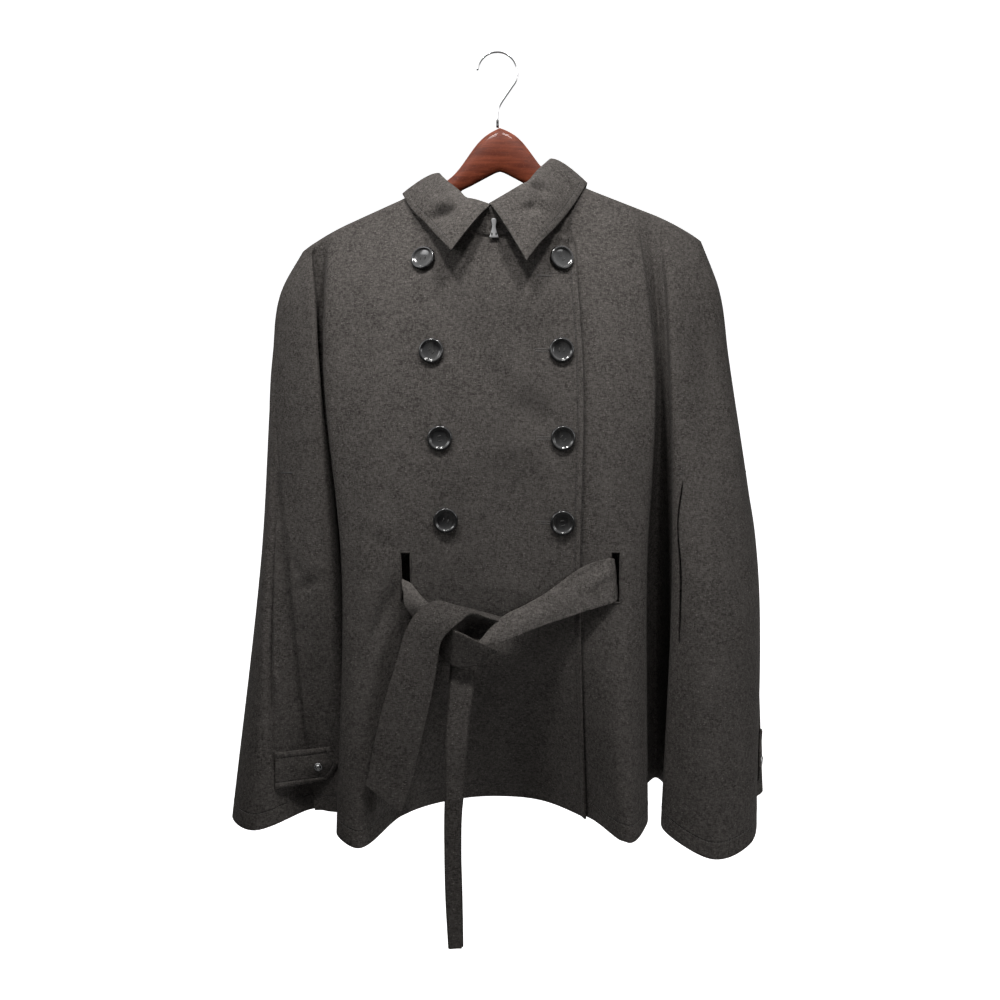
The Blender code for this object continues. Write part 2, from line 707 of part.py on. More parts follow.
def build_collar(wool):
    rows = np.array([row[1:] for row in COLLAR], float)
    spans = np.linalg.norm(np.diff(rows[:, 1:4], axis=0), axis=1)
    curve = Curve(np.concatenate([[0.0], np.cumsum(spans)]), rows)
    rows = curve.at(np.linspace(0.0, spans.sum(), 37))
    fold = rows[:, 1:4]
    outer = rows[:, 4:7]
    roll = rows[:, 7:8]
    outward = fold - np.array([0.0, NECK_CENTRE_Y, 0.0])
    outward[:, 2] = 0.0
    outward /= np.linalg.norm(outward, axis=1, keepdims=True)
    start = fold + np.array([0.0, 0.0, 2.0])
    middle = start + (outer - start) * 0.16 + outward * roll
    middle[:, 2] += roll[:, 0]
    share = np.array([0.0, 0.08, 0.2, 0.36, 0.56, 0.78, 1.0])[:, None, None]
    rest = 1 - share
    sheet("collar_fall", rest ** 2 * start + 2 * share * rest * middle + share ** 2 * outer, wool)

    turn = np.radians(rows[:, 0])
    side = np.where(np.cos(turn) > 0, -1.0, 1.0)
    low_x = -NECK_HALF * np.sin(turn)
    low_y, low_z = top_edge(low_x, side)
    under = smooth(UNDER_FREE_Z, UNDER_FULL_Z, low_z) * (turn > math.pi)
    raised = NECK_RAISE + ARM_CLEAR * np.abs(np.sin(turn)) ** 8
    low = np.stack([low_x, low_y + LAP_LAYER * under, low_z + raised], axis=1)
    high = fold - outward * 0.6 + np.array([0.0, 0.0, -0.9])
    share = np.array([0.0, 0.5, 1.0])[:, None, None]
    sheet("collar_stand", low * (1 - share) + high * share, wool)


def build_tab(name, drape, seam, toward_front, wool, metal):
    """A pointed tab across a vent, from the back on to the front, with its snap."""
    step = drape.per_mm(seam, TAB_TOP - TAB_DEPTH / 2) * toward_front
    down = np.array([row[0] for row in TAB_END])[:, None]
    reach = np.array([row[1] for row in TAB_END])[:, None]
    share = np.linspace(0.0, 1.0, 9)[None, :]
    places = seam + step * (-TAB_BACK + (reach + TAB_BACK) * share)
    grid = drape.points(places, TAB_TOP - TAB_DEPTH * down + TAB_RISE * (1 - share))
    normals = grid_normals(grid) * toward_front
    lift = TAB_SEWN + (TAB_OVER - TAB_SEWN) * smooth(0.0, 0.45, share)
    wall("tab_" + name, grid, normals, wool, lift=lift)
    height = TAB_TOP - TAB_DEPTH * 0.46
    foot, normal = drape.stand_on(seam + step * SNAP_REACH, height, SNAP_RADIUS)
    foot = foot + normal * (TAB_OVER + CLOTH / 2 + SEAM_GAP)
    turned("snap_" + name, foot, normal, SNAP_RADIUS, SNAP_HEIGHT, SNAP_PROFILE, SNAP_SIDES, metal)


def build_neck_hook(metal):
    left = [(NECK_HOOK_X - half, NECK_HOOK_TOP - drop) for half, drop in NECK_HOOK_OUTLINE]
    right = [(NECK_HOOK_X + half, NECK_HOOK_TOP - drop) for half, drop in NECK_HOOK_OUTLINE]
    outline = left + right[::-1]
    count = len(outline)
    points = [(x, NECK_HOOK_Y, z) for x, z in outline]
    points += [(x, NECK_HOOK_Y + NECK_HOOK_THICK, z) for x, z in outline]
    faces = [tuple(range(count)), tuple(reversed(range(count, 2 * count)))]
    for k in range(count):
        after = (k + 1) % count
        faces.append((after, k, k + count, after + count))
    add_object("neck_hook", points, faces, metal)


def main():
    for thing in list(bpy.data.objects):
        bpy.data.objects.remove(thing, do_unlink=True)
    wool = material("charcoal_wool", (0.030, 0.031, 0.034), 0.92)
    horn = material("button_horn", (0.012, 0.012, 0.013), 0.25)
    wood = material("mahogany_wood", (0.13, 0.025, 0.012), 0.32)
    chrome = material("hook_chrome", (0.75, 0.75, 0.76), 0.22, 1.0)

    drape = Drape()
    slot_height = (SLOT_TOP + SLOT_BOTTOM) / 2
    slot_left = drape.find(-101.0, slot_height)
    slot_right = drape.find(130.5, slot_height)
    slot_half = 5.5 * drape.per_mm(slot_left, slot_height)
    left_edge = drape.place("left_body_edge")
    left_flute = drape.place("left_flute")
    slit_half = (left_edge - left_flute) * 0.29
    slit_left = Cut(
        left_edge - (left_edge - left_flute) * 0.13 - slit_half,
        slit_half,
        SLIT_TOP,
        SLIT_BOTTOM,
        True,
    )
    wing_edge = drape.place("right_wing_edge")
    wing_mm = drape.per_mm(wing_edge, WAIST_Z)
    slit_right = Cut(
        wing_edge - 2.5 * wing_mm, 5.5 * wing_mm, SLIT_TOP, SLIT_BOTTOM, True
    )
    upper_cuts = (slit_left, Cut(slot_left, slot_half, SLOT_TOP, SLOT_BOTTOM, False))
    under_cuts = (Cut(slot_right, slot_half, SLOT_TOP, SLOT_BOTTOM, False), slit_right)
    gap = 0.42 * drape.per_mm(drape.place("left_seam") + 0.01, CHEST_Z)

    overlap = drape.place("overlap_edge")
    under_edge = drape.find(UNDER_EDGE_X, WAIST_Z)
    seams = (gap, drape.right_seam - gap)
    corners = [drape.neck_corner(x, *seams) for x in NECK_CORNERS]
    kept = (under_edge, overlap, *corners)
    front = spread(*seams, 60, upper_cuts + under_cuts, kept)
    places = [p for p in front if p <= overlap]
    panel("front_upper", drape, places, wool, upper_cuts, ceiling=(1, OVERLAP_TOP_Z))

    def under_lift(place, height):
        inner = 1 - smooth(overlap + 0.002, drape.place("right_crest"), place)
        return -LAP_LAYER * inner * smooth(UNDER_FREE_Z, UNDER_FULL_Z, height)

    places = [p for p in front if p >= under_edge]
    panel("front_under", drape, places, wool, under_cuts, under_lift, ceiling=(-1, UNDER_TOP_Z))

    first = drape.right_seam + gap
    last = 1.0 - gap
    lap_left = [1.0 + p for p in front[1:4]]
    lap_right = front[-4:-1]
    corners = [drape.neck_corner(x, first, last) for x in NECK_CORNERS]
    places = [*lap_right, *spread(first, last, 36, (), corners), *lap_left]
    near_seam = 1.4 * VENT_LAP * drape.per_mm(0.01, WAIST_Z)

    def back_lift(place, height):
        near = np.minimum(np.abs(place - drape.right_seam), np.abs(place - 1.0))
        inside = (place > first) & (place < last)
        edge = np.where(inside, 1 - smooth(0.2 * near_seam, near_seam, near), 1.0)
        return -LAP_LAYER * edge * smooth(VENT_TOP, VENT_TOP - 30, height)

    def back_kept(upper, lower, left, right):
        beyond = (right < first + 1e-6) | (left > last - 1e-6)
        return ~(beyond & (upper > VENT_TOP - 31))

    panel("back", drape, places, wool, (), back_lift, back_kept)

    build_collar(wool)
    build_neck_hook(chrome)
    build_hanger(wood, chrome)
    build_tab("left", drape, 0.0, 1.0, wool, chrome)
    build_tab("right", drape, drape.right_seam, -1.0, wool, chrome)
    ribbon("belt_run_right", BELT_RUN_RIGHT, wool, 18)
    ribbon("belt_run_left", BELT_RUN_LEFT, wool, 10)
    ribbon("belt_inside", BELT_INSIDE, wool, 24, 2)
    ribbon("belt_wide_end", BELT_WIDE_END, wool, 24)
    ribbon("belt_knot", BELT_KNOT, wool, 12)
    ribbon("belt_narrow_end", BELT_NARROW_END, wool, 16)
    for name, x, z in BUTTONS:
        place = drape.find(x, z, "left_crest", "right_crest")
        foot, normal = drape.stand_on(place, z, BUTTON_BED * BUTTON_RADIUS)
        foot = foot + normal * (CLOTH / 2 + SEAM_GAP)
        turned(name, foot, normal, BUTTON_RADIUS, BUTTON_HEIGHT, BUTTON_PROFILE, BUTTON_SIDES, horn)


main()
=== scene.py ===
"""Looks of a cape coat with a shirt collar and a tie belt, on a wooden hanger.

Sizes below are millimetres. X runs to the viewer's right, Y away from the front, Z up.
The origin is where a rail touches the inside top of the hanger's hook.
"""

import json
import math

import bmesh
import bpy
import numpy as np
from mathutils import Matrix, Vector

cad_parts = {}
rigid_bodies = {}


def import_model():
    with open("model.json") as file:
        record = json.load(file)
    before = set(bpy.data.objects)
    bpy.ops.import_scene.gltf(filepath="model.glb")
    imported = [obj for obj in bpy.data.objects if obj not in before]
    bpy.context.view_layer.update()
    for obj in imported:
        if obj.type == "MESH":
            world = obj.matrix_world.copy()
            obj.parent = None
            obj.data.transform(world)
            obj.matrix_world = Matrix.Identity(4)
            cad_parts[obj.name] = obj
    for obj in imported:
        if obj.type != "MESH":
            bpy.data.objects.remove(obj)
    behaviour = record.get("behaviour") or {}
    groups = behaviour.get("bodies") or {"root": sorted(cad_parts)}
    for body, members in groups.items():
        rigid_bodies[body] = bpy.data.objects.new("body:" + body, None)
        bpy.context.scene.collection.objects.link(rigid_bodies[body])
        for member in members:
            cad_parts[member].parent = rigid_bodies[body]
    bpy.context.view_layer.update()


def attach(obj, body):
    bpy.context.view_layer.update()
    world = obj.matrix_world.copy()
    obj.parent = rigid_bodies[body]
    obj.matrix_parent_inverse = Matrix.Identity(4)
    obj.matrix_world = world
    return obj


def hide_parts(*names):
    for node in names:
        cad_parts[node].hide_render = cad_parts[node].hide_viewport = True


MM = 0.001

# Cloth and seams
CLOTH = 2.2
SEAM_GAP = 0.3
LAYER = CLOTH + SEAM_GAP
RIDGE_GAP = 0.7 * SEAM_GAP
LAP_LAYER = LAYER + 1.0
BELT_THICK = 2.6

# Hanger: the wooden arm and the wire hook
ARM_CENTRE = 3.0
ARM_LEFT = -223.0
ARM_RIGHT = 233.0
ARM_THICK = 12.0
ARM_SEAT = 0.2
ARM_INSET = 5.0
CAP_DROP = 7.0
ARM_TILT = 0.032
ARM_BASE_Z = -115.0
ARM_SLOPE = 0.414
ARM_CROWN = 33.0
CROWN_REACH = 42.0
CROWN_POWER = 3.2
ARM_BEND = 0.0025
ARM_BEND_FROM = 172.0
# Length of the rounded ends, where the even stations start, and how deep the very tips are
ARM_END = 16.0
ARM_ENDS = 22.0
ARM_TIP = 0.03
ARM_TIP_DEEP = 0.35
ARM_END_RINGS = 12
ARM_RINGS = 96
ARM_SIDES = 28
YOKE_UNDER_Z = -131.0
YOKE_SLOPE = 0.53
YOKE_ROUND = 3.0
YOKE_ENDS = (34.0, 62.0)
BAR_HEIGHT = 28.5
BAR_THINNER = 6.0
HOOK_WIRE = 2.0
HOOK_RADIUS = 22.8
# Degrees between which the hook is round, x, y, z of its stem, and step and radius at its tip
HOOK_TURNS = (172.0, -42.0)
HOOK_STEM = ((8.6, 0.0, -48.0), (3.0, 0.0, -56.5), (0.6, 0.0, -64.0), (0.2, 0.0, -72.0))
HOOK_TIP = ((1.5, 0.5), (1.2, 1.3), (0.7, 1.8))
HOOK_SUNK = 0.6
HOOK_POINTS = 60
STEM_POINTS = 30
HOOK_SIDES = 20

# Neckline
NECK_HALF = 80.0
NECK_SOFT = 2.0
NECK_POWER = 1.25
NECK_LIFT = 2.5
NECK_LIFT_REACH = 14.0
NECK_CORNERS = (-84.0, -78.8, 78.8, 84.0)
NECK_FRONT_Y = -64.0
NECK_FRONT_Z = -217.0
NECK_BACK_Y = 50.0
NECK_BACK_Z = -200.0
OVERLAP_TOP_Z = -211.0
UNDER_TOP_Z = -218.0
UNDER_EDGE_X = -68.0
UNDER_FREE_Z = -188.0
UNDER_FULL_Z = -207.0

# Heights at which the sections below are given
YOKE_Z = -262.0
YOKE_SPREAD = 0.64
YOKE_FULL_CENTRE = 0.97
YOKE_FALL = 0.22
YOKE_FALL_FROM = 10.0
YOKE_FALL_TO = 120.0
CHEST_Z = -340.0
WAIST_Z = -590.0
HEM_Z = -875.0

# How far off the surface is sampled for its outward direction, round it and down it
NEAR_PLACE = 0.001
NEAR_HEIGHT = 2.0
# How finely places are looked for
HALVINGS = 40
NECK_TRIES = 400

# Arm slits, belt slots and side vents, as heights
SLIT_TOP = -482.0
SLIT_BOTTOM = -728.0
RIGHT_SLIT_BOTTOM = -664.0
# Where the right slit sways aside, how far above and below, and how far round as a place
SLIT_SWAY_Z = -530.0
SWAY_REACH = 36.0
SWAY_BESIDE = 0.02
# The left slit, in shares of the flute's width, and the right one in millimetres
LEFT_SLIT_IN = 0.13
LEFT_SLIT_HALF = 0.29
RIGHT_SLIT_IN = 5.5
RIGHT_SLIT_HALF = 1.3
RIGHT_SLIT_SWAY = -6.0
SLOTS_X = (-101.0, 130.5)
SLOT_TOP = -560.0
SLOT_BOTTOM = -614.0
SLOT_HALF = 5.5
SEAM_HALF = 0.42
VENT_TOP = -474.0
# The back's laps: how far below the vents' tops they start, and where they fade into the back
LAP_STARTS = 30.0
LAP_FADE = 42.0
# The vents' free edges: below their tops, beside the tabs' middles, and in from the edges
VENT_FREE_FROM = VENT_TOP - 10.0
VENT_FREE_TO = VENT_TOP - 70.0
TAB_HOLDS = (24.0, 48.0)
VENT_REACH = 14.0

# One row per fold line of the fronts, from the viewer's left seam to the right one.
# Columns: name, x on the neck or shoulder, chest x, y, waist x, y, hem x, y, z
FRONT_FOLDS = (
    ("left_seam", -223, -254, -8, -236, -34, -216, -20, -873),
    ("left_wing_front", -208, -234, -26, -206, -44, -196, -26, -873),
    ("left_wing_roll", -212, -211, -38, -188, -42, -180, -29, -873),
    ("left_flute", -209, -207.5, -8, -181, 28, -181, 26, -871),
    ("left_flute_turn", -202, -201.5, -8, -170, 32, -170, 29, -871),
    ("left_flute_flank", -193, -196, -27, -162, -28, -167, -34, -874),
    ("left_body_edge", -181, -188, -49, -171.5, -66, -180, -77, -879),
    ("left_crest", -142, -160, -56, -147, -80, -156, -98, -886),
    ("left_crest_flank", -110, -116, -63, -106, -75, -112, -36, -874),
    ("left_of_centre", -62, -62, -67, -55, -68, -62, 2, -871),
    ("centre_front", 0, 0, -69, 0, -66, 3, 16, -870),
    ("right_of_centre", 40, 48, -67, 50, -67, 54, 6, -872),
    ("overlap_edge", 78, 93, -63, 92, -70, 104, -42, -875),
    ("right_crest", 114, 140, -57, 138, -76, 148, -98, -880),
    ("right_body_edge", 142, 167, -50.5, 163, -64, 170, -58, -876),
    ("right_flute_flank", 160, 174, -36, 166, -10, 178, 38, -874),
    ("right_flute", 172, 184, -21, 190, 24, 203, 84, -872),
    ("right_flute_back", 181, 192, -33, 204, -18, 214, 20, -874),
    ("right_wing_edge", 194, 202, -45, 201, -62, 191, -68, -880),
    ("right_wing_front", 212, 236, -31, 228, -80, 234, -95, -899),
    ("right_wing_side", 225, 254, -20, 280, -58, 286, -72, -892),
    ("right_wing_turn", 230, 263, -8, 302, -16, 305, -22, -880),
    ("right_seam", 233, 267, 4, 306, 6, 309, 6, -876),
)

# The same for the back, from the viewer's right seam round to the left one.
BACK_FOLDS = (
    ("right_side", 230, 266, 20, 306, 28, 331, 50, -876),
    ("right_fold", 218, 254, 36, 288, 62, 304, 104, -882),
    ("right_valley", 190, 220, 44, 240, 62, 246, 84, -874),
    ("right_back_crest", 146, 170, 52, 186, 92, 188, 138, -885),
    ("right_back_valley", 96, 112, 54, 116, 78, 112, 98, -874),
    ("back_centre", 14, 24, 58, 24, 94, 22, 142, -885),
    ("left_back_valley", -74, -84, 55, -88, 78, -88, 100, -874),
    ("left_back_crest", -128, -150, 52, -162, 90, -166, 136, -884),
    ("left_valley", -172, -202, 43, -224, 60, -232, 78, -874),
    ("left_fold", -206, -242, 28, -268, 46, -292, 62, -880),
    ("left_side", -217, -257, 12, -280, 4, -314, -16, -884),
    ("left_wing_side", -221.5, -259, 3, -264, -28, -280, -50, -886),
)

# Columns: name, degrees round the neck from the centre front towards the viewer's left,
# x, y, z of the collar's fold line, x, y, z of its outer edge, and how full its roll is
COLLAR = (
    ("left_front", 4, -6, -67.5, -185, -49, -86, -234, 6),
    ("left_near_front", 20, -25, -65, -178.5, -60, -76, -221, 7),
    ("left_notch", 28, -33.5, -61, -176, -68, -63, -211, 7),
    ("left_chest", 36, -41, -56, -168, -76, -50, -201, 7),
    ("left_forward", 60, -57, -30, -150, -97, -22, -176, 6),
    ("left_side", 84, -66, -6, -137, -108, -3, -157, 5),
    ("left_behind", 122, -54, 27, -146, -92, 26, -178, 6),
    ("back_left", 152, -28, 44, -164, -44, 55, -206, 6),
    ("back", 180, 0, 48, -171, 0, 62, -214, 6),
    ("back_right", 208, 28, 44, -160, 46, 55, -202, 6),
    ("right_behind", 238, 50, 27, -136, 90, 26, -168, 6),
    ("right_side", 276, 61, -6, -121, 102, -3, -145, 5),
    ("right_forward", 300, 47, -30, -137, 86, -26, -172, 6),
    ("right_chest", 323, 33, -54, -156, 66, -53, -200, 7),
    ("right_near_front", 340, 16, -66, -169, 47, -79, -223, 7),
    ("right_front", 358, -8.5, -70.5, -184, 31, -90, -245, 6),
)
NECK_RAISE = 2.5
ARM_CLEAR = 1.2
NECK_CENTRE_Y = -8.0
COLLAR_ROWS = 26
COLLAR_COLUMNS = 150
COLLAR_POWER = 1.25
COLLAR_ROUND = 1.0
COLLAR_BACK_Y = 10.0
ROLL_ABOVE = 2.0
ROLL_SHARE = 0.16
BAND_ROWS = 9
BAND_INSIDE = 0.6
BAND_BELOW = 0.9
# What the band adds past the last row above: degrees, x, y, z
BAND_LAP = ((3.0, -3.0, 1.6, 2.6), (6.0, -6.5, 2.6, 2.8), (9.0, -10.0, 2.8, 2.8))

# Columns: left edge x, y, z, right edge x, y, z, and how far the middle stands forward
BELT_RUN_RIGHT = (
    (130.8, -58, -572.6, 134.5, -58, -612.3, 0),
    (127.3, -74, -566.5, 132.7, -74, -612.8, 0),
    (121.5, -79, -566, 126.9, -82, -614.3, 1),
    (108.2, -77.5, -569.6, 113, -82.5, -619, 1.5),
    (92, -75, -577.1, 95.5, -81, -624.7, 1.5),
    (72.5, -72.5, -591.5, 78.1, -79, -631.3, 2),
    (53.9, -71, -605.7, 62.7, -78, -636.5, 2),
    (29.6, -70.5, -619.9, 40.6, -78, -644.6, 2),
    (6.3, -72, -631.7, 17.4, -78.5, -654.1, 2),
    (-9.2, -75.5, -645.9, -0.3, -80, -660.4, 2),
    (-19.1, -80, -657.6, -12.5, -82, -662.7, 2),
    (-30.1, -83, -667, -25.7, -84, -672.4, 0),
)
BELT_RUN_LEFT = (
    (-106.8, -56, -604.7, -98.3, -56, -607, 0),
    (-106, -74, -590.4, -95, -74, -595.5, 0),
    (-104.7, -82, -594.7, -90.4, -82, -599.1, 1),
    (-102.8, -85, -604.2, -83.1, -85, -606.9, 2),
    (-101.7, -86, -615.1, -74.9, -86, -614.5, 3),
    (-95.9, -85, -625.3, -65.1, -85, -623, 3),
    (-85.2, -82, -638.1, -55.4, -82, -632.5, 3),
)
# The belt's hidden run between the slots, behind the front and round inside the back
BELT_INSIDE = (
    (137, -47.7, -562, 137, -47.7, -612, 0),
    (146, -24, -564, 146, -24, -614, 0),
    (144, 20, -566, 144, 20, -616, 0),
    (104, 54, -568, 104, 54, -618, 0),
    (52, 66, -569, 52, 66, -619, 0),
    (0, 70, -570, 0, 70, -620, 0),
    (-52, 66, -569, -52, 66, -619, 0),
    (-104, 54, -568, -104, 54, -618, 0),
    (-138, 22, -566, -138, 22, -616, 0),
    (-132, -20, -565, -132, -20, -614, 0),
    (-101, -46.6, -576, -101, -46.6, -611, 0),
)
BELT_WIDE_END = (
    (11.9, -69.6, -635.6, 3, -73, -638.3, 0),
    (-8.1, -71, -629.7, -11.3, -81, -632.2, 0),
    (-27, -74, -624, -28.2, -88, -625.8, 1),
    (-46.6, -80, -617.9, -38.4, -95, -631.6, 2),
    (-65, -86, -611.8, -49.1, -100, -639.4, 4),
    (-79.6, -89, -616.7, -58.2, -103, -648.6, 5),
    (-91, -91, -628, -61.9, -104, -656.6, 5),
    (-99.1, -93, -641.9, -63.6, -104, -667.6, 4),
    (-108.1, -98, -672.4, -67, -104, -689.6, 3),
    (-122.1, -103, -717.6, -72.4, -106, -717.8, 2),
    (-134.1, -107, -766.3, -82.8, -108, -762.7, 2),
    (-140.1, -109, -796.8, -92.8, -109, -806.9, 1),
    (-143.5, -110, -809.9, -104.9, -111, -841.9, 1),
)
BELT_KNOT = (
    (-65.3, -84, -643.3, -65.5, -82, -669.5, 0),
    (-57.2, -90, -640.9, -58.1, -86, -676.4, 1),
    (-48.7, -97, -641.5, -49.7, -89, -682.1, 0),
    (-37.2, -100, -645.6, -38.1, -90, -684.9, 0),
    (-25.3, -99, -651.9, -26, -90, -682.7, 0),
    (-13.4, -93, -659.1, -15.7, -89, -677.3, 1),
    (-5.8, -87, -664.2, -8, -85, -671.6, 1),
    (-0.3, -79, -669.1, -1.4, -79, -670.7, 0),
)
BELT_NARROW_END = (
    (-51.1, -76, -672.4, -26.8, -76, -672.4, 0),
    (-51.5, -78, -686.1, -25.1, -78, -684.9, 0),
    (-53.1, -81.5, -710, -27.3, -80.5, -710.3, 0),
    (-55.4, -86, -738.9, -31.2, -85, -739.2, 0),
    (-56.6, -91, -775, -34.6, -90, -775.4, 0),
    (-56.8, -91, -811.3, -36.9, -90, -811.7, 0),
    (-58.1, -91, -851.2, -40.9, -90, -851.6, 0),
    (-58.2, -91, -891.3, -41.6, -90, -891.7, 0),
    (-57.3, -92, -942.7, -40.6, -91, -943.2, 0),
    (-54.1, -94, -1003.2, -39.6, -93, -1003.1, 0),
)

# Columns: name, x, z of each button's centre
BUTTONS = (
    ("button_left_1", -81, -237),
    ("button_left_2", -72, -339),
    ("button_left_3", -63, -434),
    ("button_left_4", -57, -524),
    ("button_right_1", 70, -237),
    ("button_right_2", 70, -338),
    ("button_right_3", 72, -434),
    ("button_right_4", 72, -527),
)
# Radius of the patch of cloth that a button lies on, and how far each is turned from the last
BUTTON_BED = 8.28
BUTTON_TURN = 37
# Columns: radius and height of the button, from the middle of its back to that of its well
BUTTON_TURNED = (
    (0.0, 0.0), (8.0, 0.0), (11.5, 0.35), (13.1, 0.95), (13.7, 1.7), (13.8, 2.4), (13.5, 3.2),
    (12.9, 3.75), (12.1, 4.0), (11.3, 3.85), (10.6, 3.3), (9.9, 2.8), (9.0, 2.5), (6.5, 2.1),
    (3.5, 1.8), (0.0, 1.7),
)
BUTTON_SIDES = 56
BUTTON_SHARP = 40
# The holes' radius, and its share at their backs and fronts
HOLE_RADIUS = 1.4
HOLE_BACK = 0.9
HOLE_FRONT = 1.25
HOLE_SIDES = 20
HOLE_SPACING = 2.6
HOLE_DEEP = 2.2
HOLE_MIDDLE = 1.2
# The thread through the holes: half its thickness, and the arch of it
STRAND = 0.3
ARCH_TOP = 2.2
ARCH_FALL = 1.3

# Vent tabs: heights of their edges, and millimetres each side of the seam
TAB_TOP = -794.0
TAB_DEPTH = 42.0
TAB_BACK = 31.0
TAB_RISE = 2.0
# How far the tab's middle lies above the surface, where it is sewn and where it is snapped
TAB_SEWN = 1.7
TAB_OVER = LAYER + 0.7
# Columns: share of the depth from the top, reach over the front
TAB_END = ((0.0, 24.0), (0.24, 29.0), (0.46, 34.0), (0.74, 27.0), (1.0, 20.0))
TAB_LONGER = 5.0
TAB_LOWER = 0.4
TAB_ROUND = 0.4
TAB_ROWS = 29
TAB_COLUMNS = 41
# The share of its length over which a tab rises, and between which it has to clear the cloth
TAB_RISEN = 0.45
TAB_INNER = (0.12, 0.88)
LEAST_BOW = 0.2
SNAP_REACH = 16.0
SNAP_GAP = 0.1
SNAP_SIDES = 48
# Columns: radius and height of the snap's cap, from its rim to its middle
SNAP_TURNED = (
    (0.0, 0.0), (4.4, 0.0), (4.9, 0.25), (5.0, 0.7), (4.8, 1.15), (4.3, 1.35), (3.7, 1.2),
    (3.3, 0.95), (3.0, 0.95), (2.75, 1.25), (2.4, 1.75), (1.8, 2.1), (1.0, 2.2), (0.0, 2.2),
)

# The metal hook at the neck, as half widths at heights down from its top
NECK_HOOK_X = -3.5
NECK_HOOK_TOP = -196.5
NECK_HOOK_Y = -68.9
NECK_HOOK_THICK = 1.4
CLASP_POINTS = 70
CLASP_ROUND = 0.45
CLASP_HALF = 2.3
CLASP_DROPS = (15.6, 18.4)
NECK_HOOK_OUTLINE = (
    (1.2, 0.0), (2.5, 1.0), (2.9, 3.2), (2.5, 6.0), (2.1, 8.6), (2.5, 12.0), (3.4, 15.5),
    (4.6, 18.8), (4.5, 20.8),
)


def arm_top(x):
    """Height of the hanger's upper edge at x."""
    reach = np.abs(x - ARM_CENTRE)
    bend = ARM_BEND * np.maximum(0.0, reach - ARM_BEND_FROM) ** 2
    crown = ARM_CROWN * np.exp(-((reach / CROWN_REACH) ** CROWN_POWER))
    return ARM_BASE_Z - ARM_SLOPE * reach - bend + crown + ARM_TILT * x


def shoulder_z(x):
    """Height of the middle of the cloth that lies over the arm at x, a little up at the neck."""
    beyond = np.maximum(0.0, np.abs(x) - NECK_HALF)
    rise = NECK_LIFT * np.exp(-((beyond / NECK_LIFT_REACH) ** 2))
    return arm_top(x) + SEAM_GAP + CLOTH / 2 + rise


def arm_height(x):
    """How deep the wooden arm is, top to bottom, at x: a yoke in the middle, then a slim bar."""
    reach = np.abs(x - ARM_CENTRE)
    arch = np.sqrt(reach ** 2 + YOKE_ROUND ** 2) - YOKE_ROUND
    yoke = arm_top(x) - YOKE_UNDER_Z + YOKE_SLOPE * arch
    bar = BAR_HEIGHT - BAR_THINNER * reach / ARM_RIGHT
    along = smooth(*YOKE_ENDS, reach)
    return yoke * (1 - along) + bar * along


def smooth(low, high, value):
    """A soft step from 0 at low to 1 at high."""
    share = np.clip((value - low) / (high - low), 0.0, 1.0)
    return share * share * (3 - 2 * share)


def top_edge(x, side):
    """Where fold lines start: on the neckline, or on the shoulder over the hanger."""
    turn = np.sqrt(np.clip(1 - (x / NECK_HALF) ** 2, 0.0, 1.0))
    in_front = side < 0
    reach_y = np.where(in_front, NECK_FRONT_Y, NECK_BACK_Y)
    low_z = np.where(in_front, NECK_FRONT_Z, NECK_BACK_Z)
    side_z = shoulder_z(np.copysign(NECK_HALF, x))
    neck_z = side_z + (low_z - side_z) * turn ** NECK_POWER
    on_shoulder = np.abs(x) > NECK_HALF
    y = np.where(on_shoulder, 0.0, reach_y * turn) + side * RIDGE_GAP
    z = np.where(on_shoulder, shoulder_z(x), neck_z)
    return y, z


def slopes_of(knots, values):
    """Slopes of a smooth curve through values at uneven knots, last axis first."""
    steps = np.diff(knots, axis=0)
    rates = np.diff(values, axis=0) / steps
    inner = (rates[:-1] * steps[1:] + rates[1:] * steps[:-1]) / (steps[:-1] + steps[1:])
    return np.concatenate([rates[:1], inner, rates[-1:]])


def blend(t, step, start, start_slope, end, end_slope):
    """A cubic from start to end with the given slopes."""
    rest = 1 - t
    along = (1 + 2 * t) * rest ** 2 * start + t * t * (3 - 2 * t) * end
    return along + step * (t * rest ** 2 * start_slope - t * t * rest * end_slope)


class Curve:
    """A smooth curve through rows of values, closed or open."""

    def __init__(self, knots, values, period=None):
        knots = np.asarray(knots, float)
        values = np.asarray(values, float)
        if period is not None:
            knots = np.concatenate([knots[-3:] - period, knots, knots[:3] + period])
            values = np.concatenate([values[-3:], values, values[:3]])
        self.period = period
        self.knots = knots
        self.values = values
        self.slopes = slopes_of(knots[:, None], values)

    def at(self, places):
        places = np.asarray(places, float)
        if self.period is not None:
            places = places % self.period
        index = np.clip(np.searchsorted(self.knots, places) - 1, 0, len(self.knots) - 2)
        step = self.knots[index + 1] - self.knots[index]
        t = (places - self.knots[index]) / step
        return blend(
            t[..., None],
            step[..., None],
            self.values[index],
            self.slopes[index],
            self.values[index + 1],
            self.slopes[index + 1],
        )


